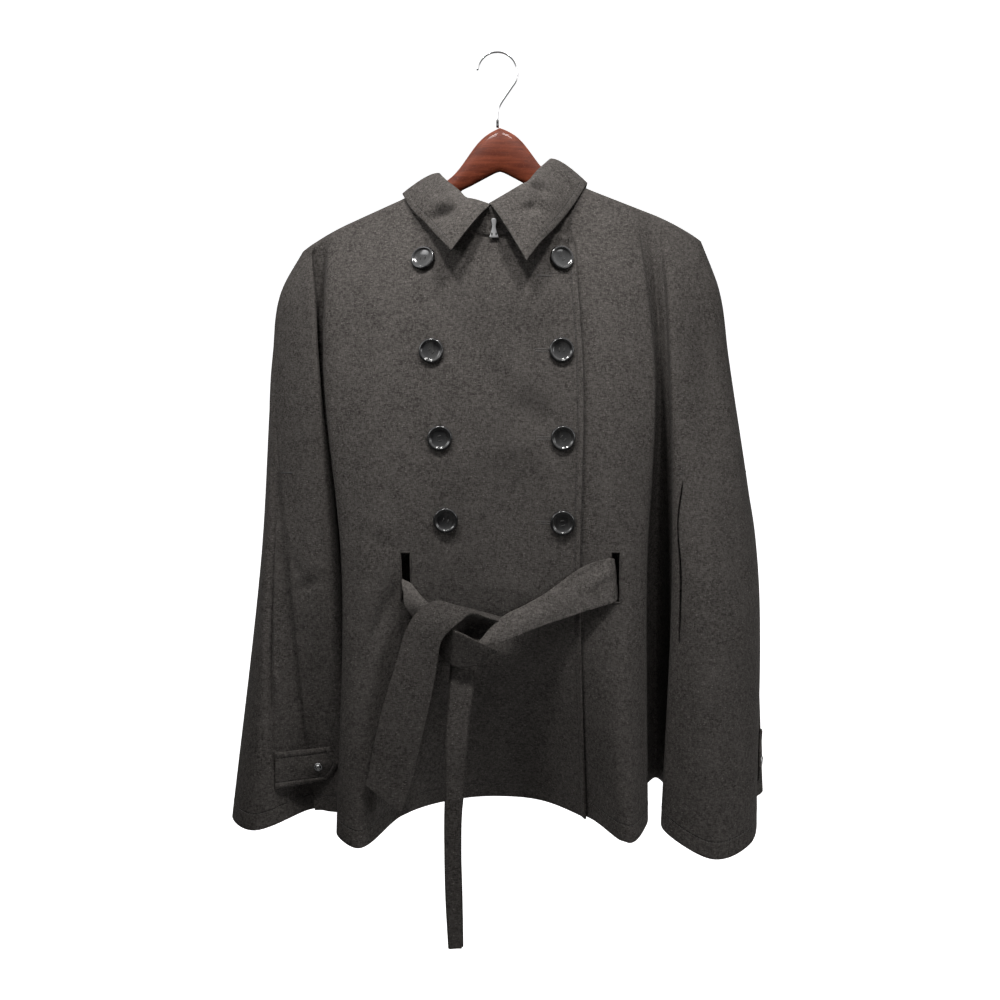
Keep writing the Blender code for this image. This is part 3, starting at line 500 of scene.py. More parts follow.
class Drape:
    """The garment's closed surface. A place from 0 to 1 runs once round it."""

    def __init__(self):
        folds = FRONT_FOLDS + BACK_FOLDS
        self.names = [row[0] for row in folds]
        numbers = np.array([row[1:] for row in folds], float)
        around = np.concatenate([numbers, numbers[:1]])
        along = running(lengths(around[:, 5:7]) + lengths(around[:, 3:5]))
        self.places = along[:-1] / along[-1]
        self.curve = Curve(self.places, numbers, period=1.0)
        self.right_seam = self.place("right_seam")

    def place(self, name):
        return self.places[self.names.index(name)]

    def points(self, places, heights, ceiling=None, real=False):
        """Points at places round the garment and nominal heights.

        Nominal heights from 0 down to YOKE_Z run from the top edge, wherever it is, to the
        yoke. Real ones are heights as they are.
        """
        places, heights = np.broadcast_arrays(places, heights)
        row = self.curve.at(places)
        wrapped = places % 1.0
        side = np.where(wrapped <= self.right_seam, -1.0, 1.0)
        top_x = np.clip(row[..., 0], ARM_LEFT, ARM_RIGHT)
        top_y, top_z = top_edge(top_x, side)
        end = np.where(top_x < 0, ARM_LEFT, ARM_RIGHT)
        past = np.clip(1 - np.abs(end - top_x) / ARM_END, 0.0, 1.0)
        clear = ARM_THICK / 2 + 3 * SEAM_GAP + CLOTH / 2
        start_y = side * np.maximum(np.abs(top_y), clear * np.sqrt(1 - past ** 2))
        start_z = top_z
        if ceiling is not None:
            start_z = np.where(top_x * ceiling[0] > 0, np.minimum(top_z, ceiling[1]), top_z)
        share = np.clip(heights / YOKE_Z, 0.0, 1.0)
        z = np.array(heights, float)
        if not real:
            z = np.where(heights >= YOKE_Z, start_z + (YOKE_Z - start_z) * share, heights)
        yoke_x = top_x + (row[..., 1] - top_x) * YOKE_SPREAD
        fall_share = smooth(YOKE_FALL_FROM, YOKE_FALL_TO, np.abs(top_x))
        yoke_y = row[..., 2] * (YOKE_FULL_CENTRE - YOKE_FALL * fall_share)
        level = np.ones_like(top_x)
        knots = np.array(
            [-top_z, -YOKE_Z * level, -CHEST_Z * level, -WAIST_Z * level, -HEM_Z * level]
        )
        across = np.array([top_x, yoke_x, row[..., 1], row[..., 3], row[..., 5]])
        depth = np.array([start_y, yoke_y, row[..., 2], row[..., 4], row[..., 6]])
        x = self.down(knots, across, -z)
        y = self.down(knots, depth, -z)
        fall = np.clip((top_z - z) / CAP_DROP, 0.0, 1.0)
        bend = np.sqrt(1 - (1 - fall) ** 2)
        y = y + (top_y - y) * (1 - bend)
        below = np.clip((z - WAIST_Z) / (HEM_Z - WAIST_Z), 0.0, None)
        z = np.where(z < WAIST_Z, WAIST_Z + below * (row[..., 7] - WAIST_Z), z)
        return np.stack([x, y, z], axis=-1)

    def normals(self, places, heights, ceiling=None):
        """Unit outward directions of the surface, from points close by on each side."""
        upper = np.minimum(heights + NEAR_HEIGHT, 0.0)
        lower = np.maximum(heights - NEAR_HEIGHT, HEM_Z)
        drop = self.points(places, lower, ceiling) - self.points(places, upper, ceiling)
        after = self.points(places + NEAR_PLACE, heights, ceiling)
        return unit(np.cross(drop, after - self.points(places - NEAR_PLACE, heights, ceiling)))

    @staticmethod
    def down(knots, values, low):
        """Values at depth low along curves whose knots run down the first axis."""
        slopes = slopes_of(knots, values)
        result = values[0].copy()
        for i in range(len(knots) - 1):
            step = knots[i + 1] - knots[i]
            t = np.clip((low - knots[i]) / step, 0.0, 1.0)
            span = blend(t, step, values[i], slopes[i], values[i + 1], slopes[i + 1])
            result = np.where(low > knots[i], span, result)
        return result

    def on_shoulder(self, places):
        """1 where a fold line starts on the hanger's arm, 0 where it starts on the neckline."""
        return smooth(NECK_HALF - NECK_SOFT, NECK_HALF, np.abs(self.curve.at(places)[..., 0]))

    def find(self, x, height, low="left_body_edge", high="right_body_edge"):
        """Place on the body between two fold lines where the cloth crosses x."""
        first = self.place(low)
        last = self.place(high)
        for _ in range(HALVINGS):
            middle = (first + last) / 2
            if self.points(middle, float(height), real=True)[0] < x:
                first = middle
            else:
                last = middle
        return (first + last) / 2

    def neck_corner(self, x, first, last):
        """Place between two others where a fold line starts at x on the neckline."""
        places = np.linspace(first, last, NECK_TRIES)
        return places[np.argmin(np.abs(self.curve.at(places)[:, 0] - x))]

    def per_mm(self, place, height):
        """Change of place for a millimetre of cloth."""
        around = np.array([place - NEAR_PLACE, place + NEAR_PLACE])
        ends = self.points(around, float(height), real=True)
        return 2 * NEAR_PLACE / np.linalg.norm(ends[1] - ends[0])

    def stand_on(self, place, height, radius):
        """Where a round piece lies on the cloth at a real height, and its outward direction."""
        step = radius * self.per_mm(place, height)
        places = place + step * np.linspace(-1.0, 1.0, 9)
        heights = height + radius * np.linspace(1.0, -1.0, 9)
        patch = self.points(places[None, :], heights[:, None], real=True)
        middle = patch[4, 4]
        normal = np.cross(patch[-1, 4] - patch[0, 4], patch[4, -1] - patch[4, 0])
        normal /= np.linalg.norm(normal)
        rise = (patch - middle) @ normal
        return middle + normal * rise.max(), normal


# Soft folds of the cloth that are finer than the solids'.
# Columns: where it lies, x, z of its top, middle and bottom, half width, how far it stands out
CREASES = (
    ("body", -76, -243, -24, -337, 12, -391, 24, -3.0),
    ("body", 14, -391, 40, -408, 66, -424, 17, -3.4),
    ("body", -20, -268, 30, -282, 72, -292, 26, 2.6),
    ("body", -8, -320, 20, -360, 58, -398, 20, 2.2),
    ("body", -140, -330, -132, -470, -140, -600, 20, 2.4),
    ("body", -98, -300, -104, -420, -112, -540, 22, -2.4),
    ("body", -106, -588, -122, -622, -142, -668, 8, -4.0),
    ("body", -146, -540, -124, -552, -106, -560, 9, -2.0),
    ("body", -128, -600, -136, -680, -150, -790, 15, -3.0),
    ("body", -64, -470, -50, -520, -40, -575, 20, -2.4),
    ("body", 12, -440, 18, -520, 6, -610, 36, -9.0),
    ("body", 50, -440, 56, -500, 46, -560, 13, 1.8),
    ("body", 122, -300, 128, -420, 124, -560, 20, 2.6),
    ("body", 108, -640, 112, -730, 118, -850, 15, 2.2),
    ("body", 52, -660, 60, -740, 66, -850, 22, -2.6),
    ("body", -6, -690, -2, -770, 8, -860, 20, 2.2),
    ("body", -54, -650, -24, -654, 6, -659, 13.5, -22.0),
    ("body", -60, -672, -66, -720, -76, -800, 9, -8.0),
    ("left_wing", -233, -613, -214, -601, -194, -590, 3.6, -3.6),
    ("left_wing", -241, -562, -232, -578, -222, -594, 3.6, -3.2),
    ("left_wing", -230, -594, -214, -580, -198, -570, 8, 1.8),
    ("left_wing", -222, -300, -216, -380, -214, -450, 12, 1.6),
    ("left_wing", -212, -600, -205, -690, -200, -800, 8, -1.8),
    ("right_wing", 226, -300, 238, -400, 252, -520, 14, -2.6),
    ("right_wing", 246, -260, 262, -380, 280, -500, 12, 2.2),
    ("right_wing", 244, -538, 264, -566, 279, -608, 7, -3.0),
    ("right_wing", 238, -556, 257, -592, 268, -632, 8, 2.0),
    ("right_wing", 262, -620, 272, -650, 286, -700, 9, 2.0),
    ("right_wing", 240, -720, 252, -780, 262, -860, 14, -2.4),
    ("left_vent", -252, -476, -263, -640, -251, -872, 4.0, -9.0),
    ("left_vent", -250, -520, -250, -640, -240, -780, 9, -5.0),
    ("left_vent", -255, -700, -249, -737, -238, -790, 6, 3.5),
    ("right_vent", 300, -600, 303, -700, 306, -860, 6, -3.2),
    ("back", 0, -300, 10, -480, 30, -700, 30, 3.0),
    ("back", -60, -280, -54, -420, -40, -560, 22, -2.8),
    ("back", 64, -290, 76, -460, 70, -640, 24, -3.0),
    ("back", -140, -330, -150, -520, -164, -760, 22, 3.0),
    ("back", 150, -320, 164, -500, 180, -740, 22, 3.2),
    ("back", -190, -300, -214, -420, -236, -560, 18, -2.4),
    ("back", 196, -300, 222, -430, 250, -580, 18, -2.6),
    ("back", -100, -640, -96, -740, -104, -850, 16, 2.4),
    ("back", 40, -680, 50, -770, 44, -860, 18, -2.6),
    ("back", 110, -620, 122, -700, 126, -800, 14, 2.0),
)
# Dents of the tie's right run by its slot, in the same columns from x on
RUN_DENTS = (
    (125, -579, 113, -588, 99, -600, 4.5, 3.0),
    (118, -570, 104, -580, 90, -596, 6, -1.6),
    (60, -622, 40, -634, 20, -646, 5, 1.2),
)
# Dimples of the collar, which lies loose round the neck.
# Columns: x, z of two ends, half width, how far it stands out
COLLAR_DIMPLES = (
    (-77, -195, -42, -184, 5.5, -7.5),
    (-70, -181, -44, -172, 6, 2.6),
    (-72, -168, -58, -160, 8, -2.2),
    (36, -156, 60, -167, 6, -6.5),
    (26, -189, 46, -184, 5.5, -5.0),
    (50, -177, 68, -168, 8, 2.0),
    (-62, -206, -50, -214, 10, 1.8),
    (44, -214, 60, -196, 10, 1.8),
)

# Creases start below this height and fade at the rims of their panel, as a place, and at their ends
CREASES_FROM = -215.0
CREASE_RIM = 0.012
BEND_STEPS = 14
BEND_FADE = 0.04
BEND_POWER = 0.7

# Cloth is drawn with points this far apart, round the garment and down it
POINT_STEP = 3.5
ROW_STEP = 5.2
SHOULDER_ROWS = 26
SHOULDER_POWER = 1.6
LAP_COLUMNS = 8
LAP_PARTS = 60
CLEAR_SHARE = 0.6
PAIR_SHARE = 0.1
CLOTH_ROUND = 0.85
EDGE_ROUND = 0.8
BELT_ROUND = 0.6
COLLAR_CLOTH = 2.6

# Sewing: how far its rows are from the edges, and the stitches themselves
EDGE_SEWING = 6.5
TAB_SEWING = 7.0
TAB_PUFF = 1.1
# How far the free edges of the fronts stand off the cloth under them
VENT_RAISE = 2.0
EDGE_RAISE = 2.5
TOP_RAISE = 3.0
# The overlap's raised edge: in from it, heights of its start, of its top, and from the centre
EDGE_REACH = 6.0
EDGE_HEIGHTS = (-212.0, -230.0)
TOP_HEIGHTS = (-222.0, -212.0)
TOP_FROM_CENTRE = (30.0, 40.0)
HEM_SEWING = 19.0
STITCH_PITCH = 3.6
STITCH_LENGTH = 2.7
STITCH_THICK = 0.62
STITCH_LOOK = 1.2
STITCH_LIFT = 0.1
BATCH_POINTS = 800
TOP_SEWING_Z = -218.5
# Bar tacks: half their length, and how far they are above and beside the openings
TACK_HALF = 4.5
TACK_ABOVE = 1.5
RIGHT_TACK_ABOVE = 8.0
RIGHT_TACK_BESIDE = 5.0
VENT_TACK_LONGER = 1.6
VENT_TACK_BESIDE = 8.5
# Where the row along the overlap's top is pinned, and its height over the cloth
TOP_SEWING_X = (44.0, 56.0, 68.0, 78.0, 84.0)
TOP_SEWING_ABOVE = 0.6
# Pitch, length and width of close stitches
TACK_STITCH = (0.75, 0.7, 1.9)
HOLE_STITCH = (0.8, 0.7, 1.9)
CLASP_STITCH = (0.7, 0.7, 1.8)
# Buttonholes: from the button's centre, their length, and their two rows from the middle
HOLE_BESIDE = 12.0
HOLE_LONG = 17.0
HOLE_LIP = 1.25
# The cord round the belt slots
WELT_RADIUS = 1.15
WELT_PAST = 0.6
WELT_SUNK = 0.2
# The folded end of the tie: half its opening at the fold, and how far its back layer shows
FOLD_OPEN = 1.8
FOLD_OFFSET = 1.6
FOLD_SHARE = 0.1
FOLD_WAVE = 0.9
FOLD_WAVES = 9.0
FOLD_ACROSS = 2.6
FOLD_POWER = 1.15
SEWING_REACH = 9.0

# Soft boxes. Columns: name, place and aim in metres, watts, width, height, spread, tone
WARM = (1.0, 0.985, 0.965)
WHITE = (1.0, 1.0, 1.0)
LIGHTS = (
    ("key_left", (-0.24, -0.62, 0.60), (-0.02, -0.06, -0.24), 1.7, 0.16, 0.12, 78, WARM),
    ("key_right", (0.20, -0.62, 0.60), (0.02, -0.06, -0.24), 1.6, 0.16, 0.12, 78, WARM),
    ("left_light", (-1.3, -1.1, 0.5), (-0.22, 0.0, -0.2), 0.8, 0.7, 0.7, 44, WHITE),
    ("right_light", (1.5, -1.2, -0.1), (0.24, 0.0, -0.86), 1.0, 0.7, 0.7, 50, WHITE),
    ("front_light", (0.0, -1.9, -0.3), (0.0, 0.0, -0.5), 0.3, 1.2, 1.0, 100, WHITE),
)
# The air's brightness. Columns: axis, range along it, brightness at its two ends
AIR = (("Z", -0.1, 0.75, 0.03, 1.7), ("Y", -0.75, 0.3, 0.0, 0.75))
# The paper sweep, in metres
SWEEP_HALF = 3.2
SWEEP_FRONT = -2.6
SWEEP_FLOOR = -1.75
SWEEP_BEND_Y = 1.0
SWEEP_BEND = 0.6
SWEEP_TOP = 2.6
CAMERA_PLACE = (0.003, -1.170, -0.414)
CAMERA_FALL = 0.08
LENS = 36.0


def unit(vectors):
    """The same directions with length 1."""
    return vectors / np.maximum(np.linalg.norm(vectors, axis=-1, keepdims=True), 1e-9)


def lengths(points, axis=0):
    """Distances between neighbours along an axis of a row or a grid of points."""
    return np.linalg.norm(np.diff(points, axis=axis), axis=-1)


def running(steps, axis=0):
    """Distances from the start along an axis, from the steps between neighbours."""
    start = np.zeros_like(np.take(steps, [0], axis))
    return np.concatenate([start, np.cumsum(steps, axis)], axis)


def borders(grid):
    """Distances over a grid from its first row, last row, first column and last column."""
    down = running(lengths(grid))
    along = running(lengths(grid, 1), 1)
    return down, down[-1:] - down, along, along[:, -1:] - along


def grid_normals(grid):
    """Unit normals of a grid of points, rows by columns."""
    return unit(np.cross(np.gradient(grid, axis=0), np.gradient(grid, axis=1)))


class Field:
    """A value that changes over a surface, whose maths is written as Python."""

    def __init__(self, finish, socket):
        self.finish = finish
        self.socket = socket

    def maths(self, operation, *values):
        inputs = dict(enumerate(values))
        made = self.finish.node("ShaderNodeMath", {"operation": operation}, inputs)
        return Field(self.finish, made.outputs[0])

    def __add__(self, other):
        return self.maths("ADD", self, other)

    def __radd__(self, other):
        return self.maths("ADD", other, self)

    def __sub__(self, other):
        return self.maths("SUBTRACT", self, other)

    def __rsub__(self, other):
        return self.maths("SUBTRACT", other, self)

    def __mul__(self, other):
        return self.maths("MULTIPLY", self, other)

    def size(self):
        return self.maths("ABSOLUTE", self)

    def wave(self):
        return self.maths("SINE", self)

    def step(self, low, high):
        """0 below low, 1 above high, and a soft slope between."""
        settings = {"interpolation_type": "SMOOTHSTEP"}
        inputs = {"Value": self, "From Min": low, "From Max": high}
        made = self.finish.node("ShaderNodeMapRange", settings, inputs)
        return Field(self.finish, made.outputs["Result"])


class Finish:
    """A material and the nodes that give it its detail."""

    def __init__(self, name, roughness, constants=None):
        self.made = bpy.data.materials.new(name)
        self.made.use_nodes = True
        self.tree = self.made.node_tree
        self.shader = self.tree.nodes["Principled BSDF"]
        self.shader.inputs["Roughness"].default_value = roughness
        for socket, value in (constants or {}).items():
            self.shader.inputs[socket].default_value = value
        self.place = self.node("ShaderNodeTexCoord").outputs["Object"]

    def node(self, kind, settings=None, inputs=None):
        """A node of this kind with its settings, and values or links for its sockets."""
        made = self.tree.nodes.new(kind)
        for name, value in (settings or {}).items():
            setattr(made, name, value)
        for name, value in (inputs or {}).items():
            if isinstance(value, Field):
                value = value.socket
            if isinstance(value, bpy.types.NodeSocket):
                self.tree.links.new(value, made.inputs[name])
            else:
                made.inputs[name].default_value = value
        return made

    def stretched(self, turn, stretch):
        """Object coordinates turned and stretched."""
        inputs = {"Vector": self.place, "Rotation": turn, "Scale": stretch}
        return self.node("ShaderNodeMapping", None, inputs).outputs["Vector"]

    def noise(self, size, detail=2.0, rough=0.5, where=None):
        """Cloudy variation, from 0 to 1, with clouds of this size in millimetres."""
        inputs = {
            "Vector": where or self.place,
            "Scale": 1 / (size * MM),
            "Detail": detail,
            "Roughness": rough,
        }
        return Field(self, self.node("ShaderNodeTexNoise", None, inputs).outputs["Fac"])

    def grains(self, size, where=None):
        """Distance to the nearest of scattered points about this far apart in millimetres."""
        inputs = {"Vector": where or self.place, "Scale": 1 / (size * MM)}
        return Field(self, self.node("ShaderNodeTexVoronoi", None, inputs).outputs["Distance"])

    def attribute(self, name):
        settings = {"attribute_name": name}
        return Field(self, self.node("ShaderNodeAttribute", settings).outputs["Fac"])

    def mix(self, share, low, high):
        """A colour between two, each a colour or a socket."""
        settings = {"data_type": "RGBA", "clamp_factor": True}
        inputs = {"Factor": share, 6: low, 7: high}
        return self.node("ShaderNodeMix", settings, inputs).outputs[2]

    def bump(self, height, distance, under=None):
        """Relief of this height in millimetres where the field is 1."""
        inputs = {"Height": height, "Distance": distance * MM, "Strength": 1.0}
        if under is not None:
            inputs["Normal"] = under
        return self.node("ShaderNodeBump", None, inputs).outputs["Normal"]

    def give(self, socket, value):
        if isinstance(value, Field):
            value = value.socket
        self.tree.links.new(value, self.shader.inputs[socket])


def colour(red, green, blue):
    return (red, green, blue, 1.0)


def wool_finish(name, shade=1.0, sewn=0.26):
    """Heathered charcoal wool with a short nap, pressed down along its sewing. The grooves along the
    sewing are darkened by sewn as painted shade, and shade scales the whole tone, which makes lit
    and shaded copies of the one cloth as painted light and painted shade.
    """
    wool = Finish(
        name,
        0.9,
        {
            "Sheen Weight": 0.04,
            "Sheen Roughness": 0.4,
            "Sheen Tint": colour(0.9, 0.88, 0.86),
            "Specular IOR Level": 0.0,
        },
    )
    across = wool.noise(2.0, 2.0, 0.6, wool.stretched((0.0, 0.35, 0.0), (0.5, 1.0, 1.6)))
    along = wool.noise(1.8, 2.0, 0.6, wool.stretched((0.0, -0.5, 0.0), (1.6, 1.0, 0.55)))
    speckle = wool.noise(4.0, 3.0, 0.6)
    cloudy = wool.noise(26.0, 2.0)
    mottle = (across * 0.40 + along * 0.34 + speckle * 0.26).step(0.33, 0.67)
    dark = colour(0.026 * shade, 0.0238 * shade, 0.0222 * shade)
    pale = colour(0.114 * shade, 0.105 * shade, 0.099 * shade)
    melange = wool.mix(mottle, dark, pale)
    worn = wool.mix((cloudy - 0.5) * 0.6 + 0.1, melange, pale)
    flecks = 1 - wool.grains(5.0, wool.stretched((0.3, 0.2, 0.1), (0.8, 1.0, 1.5))).step(0.08, 0.18)
    flecked = wool.mix(flecks * 0.4, worn, colour(0.27, 0.25, 0.235))
    nap = across * 0.5 + along * 0.5 + wool.noise(0.7, 1.0) * 0.5
    normal = wool.bump(nap, 0.42)
    normal = wool.bump(wool.noise(7.0, 2.0), 0.6, normal)
    # Along the sewing the cloth is pressed into a groove, and sewn also darkens the groove's colour
    # there as painted shade.
    if sewn > 0:
        away = wool.attribute("sewing").size()
        groove_relief_and_shade = 1 - away.step(0.2, 1.6)
        flecked = wool.mix(groove_relief_and_shade * sewn, flecked, dark)
        normal = wool.bump(1 - groove_relief_and_shade, sewn * 2.5, normal)
    wool.give("Base Color", flecked)
    wool.give("Normal", normal)
    return wool.made


def thread_finish(name="sewing_thread", shade=1.0):
    """Dull sewing thread with a twist."""
    thread = Finish(name, 0.7, {"Sheen Weight": 0.1})
    twist = (thread.noise(0.5, 1.0) * 6.0).wave()
    dark = colour(0.038 * shade, 0.035 * shade, 0.033 * shade)
    pale = colour(0.088 * shade, 0.081 * shade, 0.077 * shade)
    thread.give("Base Color", thread.mix(twist * 0.5 + 0.5, dark, pale))
    thread.give("Normal", thread.bump(twist, 0.06))
    return thread.made


def horn_finish():
    """Polished black resin with faint smoky streaks and fine scratches."""
    shine = {"Coat Weight": 0.3, "Coat Roughness": 0.1, "Specular IOR Level": 0.35}
    horn = Finish("button_horn_polished", 0.14, shine)
    smoke = horn.noise(6.0, 3.0, 0.6, horn.stretched((0.2, 0.6, 0.1), (1.0, 1.0, 0.4)))
    dark = colour(0.006, 0.006, 0.0065)
    horn.give("Base Color", horn.mix(smoke.step(0.35, 0.75), dark, colour(0.020, 0.0195, 0.019)))
    horn.give("Roughness", 0.1 + horn.noise(1.2, 2.0).step(0.4, 0.7) * 0.12)
    horn.give("Normal", horn.bump(horn.noise(2.5, 1.0), 0.04))
    return horn.made


def mahogany_finish():
    """Red-brown wood under clear varnish, with its grain along the arm."""
    wood = Finish("mahogany_varnished", 0.5, {"Specular IOR Level": 0.12, "Coat Weight": 0.05})
    run = wood.stretched((0.0, 0.0, 0.0), (0.06, 1.0, 1.0))
    figure = wood.noise(5.0, 4.0, 0.6, run)
    pores = wood.noise(0.9, 2.0, 0.6, wood.stretched((0.0, 0.0, 0.0), (0.09, 1.0, 1.0)))
    dark = colour(0.070, 0.0130, 0.0052)
    body = wood.mix(figure.step(0.3, 0.72), dark, colour(0.164, 0.0370, 0.0160))
    dots = wood.noise(1.6, 2.0).step(0.56, 0.7)
    speckled = wood.mix(dots * 0.35, body, colour(0.19, 0.05, 0.022))
    pored = wood.mix(pores.step(0.58, 0.74) * 0.6, speckled, colour(0.04, 0.009, 0.005))
    wood.give("Base Color", pored)
    wood.give("Roughness", 0.42 + figure * 0.16)
    wood.give("Normal", wood.bump(1 - pores.step(0.55, 0.75), 0.08))
    return wood.made


def chrome_finish(name, tone, roughness):
    """Bright plated steel, a little hazed and scratched."""
    chrome = Finish(name, roughness, {"Metallic": 1.0})
    haze = chrome.noise(3.0, 2.0)
    dull = colour(tone * 0.86, tone * 0.86, tone * 0.87)
    chrome.give("Base Color", chrome.mix(haze, dull, colour(tone, tone, tone)))
    scratches = chrome.noise(0.8, 2.0, 0.6, chrome.stretched((0.3, 0.4, 0.0), (0.3, 1.0, 1.5)))
    chrome.give("Roughness", roughness + scratches.step(0.5, 0.8) * 0.12)
    chrome.give("Normal", chrome.bump(scratches, 0.02))
    return chrome.made


def studio_finish():
    """Plain matt white paper, pale underfoot and bright behind."""
    paper = Finish("studio_paper", 0.95, {"Emission Strength": 1.0})
    far = paper.node("ShaderNodeSeparateXYZ", None, {"Vector": paper.place}).outputs["Y"]
    behind = Field(paper, far).step(0.55, 1.25)
    dark = colour(0.0, 0.0, 0.0)
    paper.give("Base Color", paper.mix(behind, colour(0.62, 0.62, 0.62), colour(0.9, 0.9, 0.9)))
    paper.give("Emission Color", paper.mix(behind, dark, colour(1.0, 1.0, 1.0)))
    return paper.made


def laid(grid, kept=None, marks=None):
    """A bmesh sheet of quads on a grid of points, each with its distance from the sewing."""
    rows, columns = grid.shape[:2]
    if marks is None:
        marks = np.full((rows, columns), SEWING_REACH)
    marks = np.clip(marks, -SEWING_REACH, SEWING_REACH)
    work = bmesh.new()
    bmesh.ops.create_grid(work, x_segments=columns - 1, y_segments=rows - 1, size=1.0)
    layer = work.verts.layers.float.new("sewing")
    for vertex, point, mark in zip(work.verts, grid.reshape(-1, 3) * MM, marks.reshape(-1)):
        vertex.co = point
        vertex[layer] = mark
    if kept is not None:
        gone = [face for face, keep in zip(work.faces, kept.reshape(-1)) if not keep]
        bmesh.ops.delete(work, geom=gone, context="FACES")
    return work


def placed(name, data):
    """A new object in the scene."""
    made = bpy.data.objects.new(name, data)
    bpy.context.scene.collection.objects.link(made)
    return made


def from_bmesh(name, work, finish=None):
    """A smooth object from a bmesh, which is used up."""
    mesh = bpy.data.meshes.new(name)
    for face in work.faces:
        face.smooth = True
    work.to_mesh(mesh)
    work.free()
    if finish:
        mesh.materials.append(finish)
    return placed(name, mesh)


def piece(name, work, finish, replaces=()):
    """An object from a bmesh, riding on the coat."""
    made = from_bmesh(name, work, finish)
    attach(made, "root")
    if replaces:
        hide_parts(*replaces)
    return made


def settle(made):
    """Makes the modifiers of a piece part of its mesh."""
    graph = bpy.context.evaluated_depsgraph_get()
    mesh = bpy.data.meshes.new_from_object(made.evaluated_get(graph))
    made.modifiers.clear()
    made.data = mesh


def cloth_piece(name, grid, finish, node, thick=CLOTH, rounding=EDGE_ROUND, kept=None, marks=None):
    """A sheet laid on a grid, with its thickness about its own surface and rounded edges."""
    made = piece(name, laid(grid, kept, marks), finish, (node,))
    solid = made.modifiers.new("thickness", "SOLIDIFY")
    solid.thickness = thick * MM
    solid.offset = 0.0
    edge = made.modifiers.new("rounded_edge", "BEVEL")
    edge.width = rounding * MM
    edge.segments = 2
    edge.limit_method = "ANGLE"
    edge.angle_limit = math.radians(62)
    edge.harden_normals = False
    settle(made)
    return made


def flat_size(grid, kept=1.0):
    """Area in square metres of the kept faces of a grid."""
    across = grid[1:, 1:] - grid[:-1, :-1]
    other = grid[1:, :-1] - grid[:-1, 1:]
    areas = np.linalg.norm(np.cross(across, other), axis=2) / 2 * kept
    return float(areas.sum()) * MM * MM


def bezier(points, count):
    """Points along a soft bend through three."""
    share = np.linspace(0.0, 1.0, count)[:, None]
    start, middle, end = (np.array(point, float) for point in points)
    pull = 2 * middle - (start + end) / 2
    return (1 - share) ** 2 * start + 2 * share * (1 - share) * pull + share ** 2 * end


def crease_depth(points, table):
    """How far the cloth stands out at points, from a table of creases seen flat in X and Z."""
    total = np.zeros(points.shape[:-1])
    flat = points[..., [0, 2]]
    for x1, z1, x2, z2, x3, z3, half, depth in table:
        line = bezier(((x1, z1), (x2, z2), (x3, z3)), BEND_STEPS + 1)
        nearest = np.full(total.shape, 1e9)
        where = np.zeros(total.shape)
        for index, (start, end) in enumerate(zip(line[:-1], line[1:])):
            ahead = end - start
            share = np.clip((flat - start) @ ahead / (ahead @ ahead), 0.0, 1.0)
            away = np.sum((flat - start - share[..., None] * ahead) ** 2, axis=-1)
            where = np.where(away < nearest, (index + share) / BEND_STEPS, where)
            nearest = np.minimum(nearest, away)
        ends = np.sin(math.pi * np.clip(where, BEND_FADE, 1 - BEND_FADE)) ** BEND_POWER
        total += depth * ends * np.exp(-nearest / (half * half))
    return total


class Cut:
    """An opening between two columns of a panel, as wide as half on each side of its middle.

    The columns on each side are pushed away from it, less and less with distance.
    """

    def __init__(self, middle, half, top, bottom, pointed, sway=0.0):
        self.middle = middle
        self.half = half
        self.top = top
        self.bottom = bottom
        self.pointed = pointed
        self.sway = sway

    def push(self, places, heights):
        share = np.ones(len(heights))
        if self.pointed:
            down = np.clip((heights - self.top) / (self.bottom - self.top), 0.0, 1.0)
            share = np.sqrt(np.sin(math.pi * down))
        away = places - self.middle
        near = np.clip(1 - np.abs(away) / (3 * self.half), 0.0, 1.0)
        pushed = share[:, None] * (self.half * near * np.sign(away))
        beside = np.clip(1 - np.abs(away) / SWAY_BESIDE, 0.0, 1.0)
        swayed = self.sway * np.exp(-(((heights - SLIT_SWAY_Z) / SWAY_REACH) ** 2))
        return pushed + swayed[:, None] * beside


def spread(first, last, count, cuts, fixed=()):
    """Even places from first to last, with a pair set aside for each cut and fixed ones kept."""
    places = list(np.linspace(first, last, count))
    step = places[1] - places[0]
    for place in fixed:
        places = [p for p in places if p in fixed or abs(p - place) > CLEAR_SHARE * step]
        places.append(place)
    for cut in cuts:
        places = [p for p in places if abs(p - cut.middle) > CLEAR_SHARE * step]
        places.extend([cut.middle - PAIR_SHARE * step, cut.middle + PAIR_SHARE * step])
    return sorted(places)


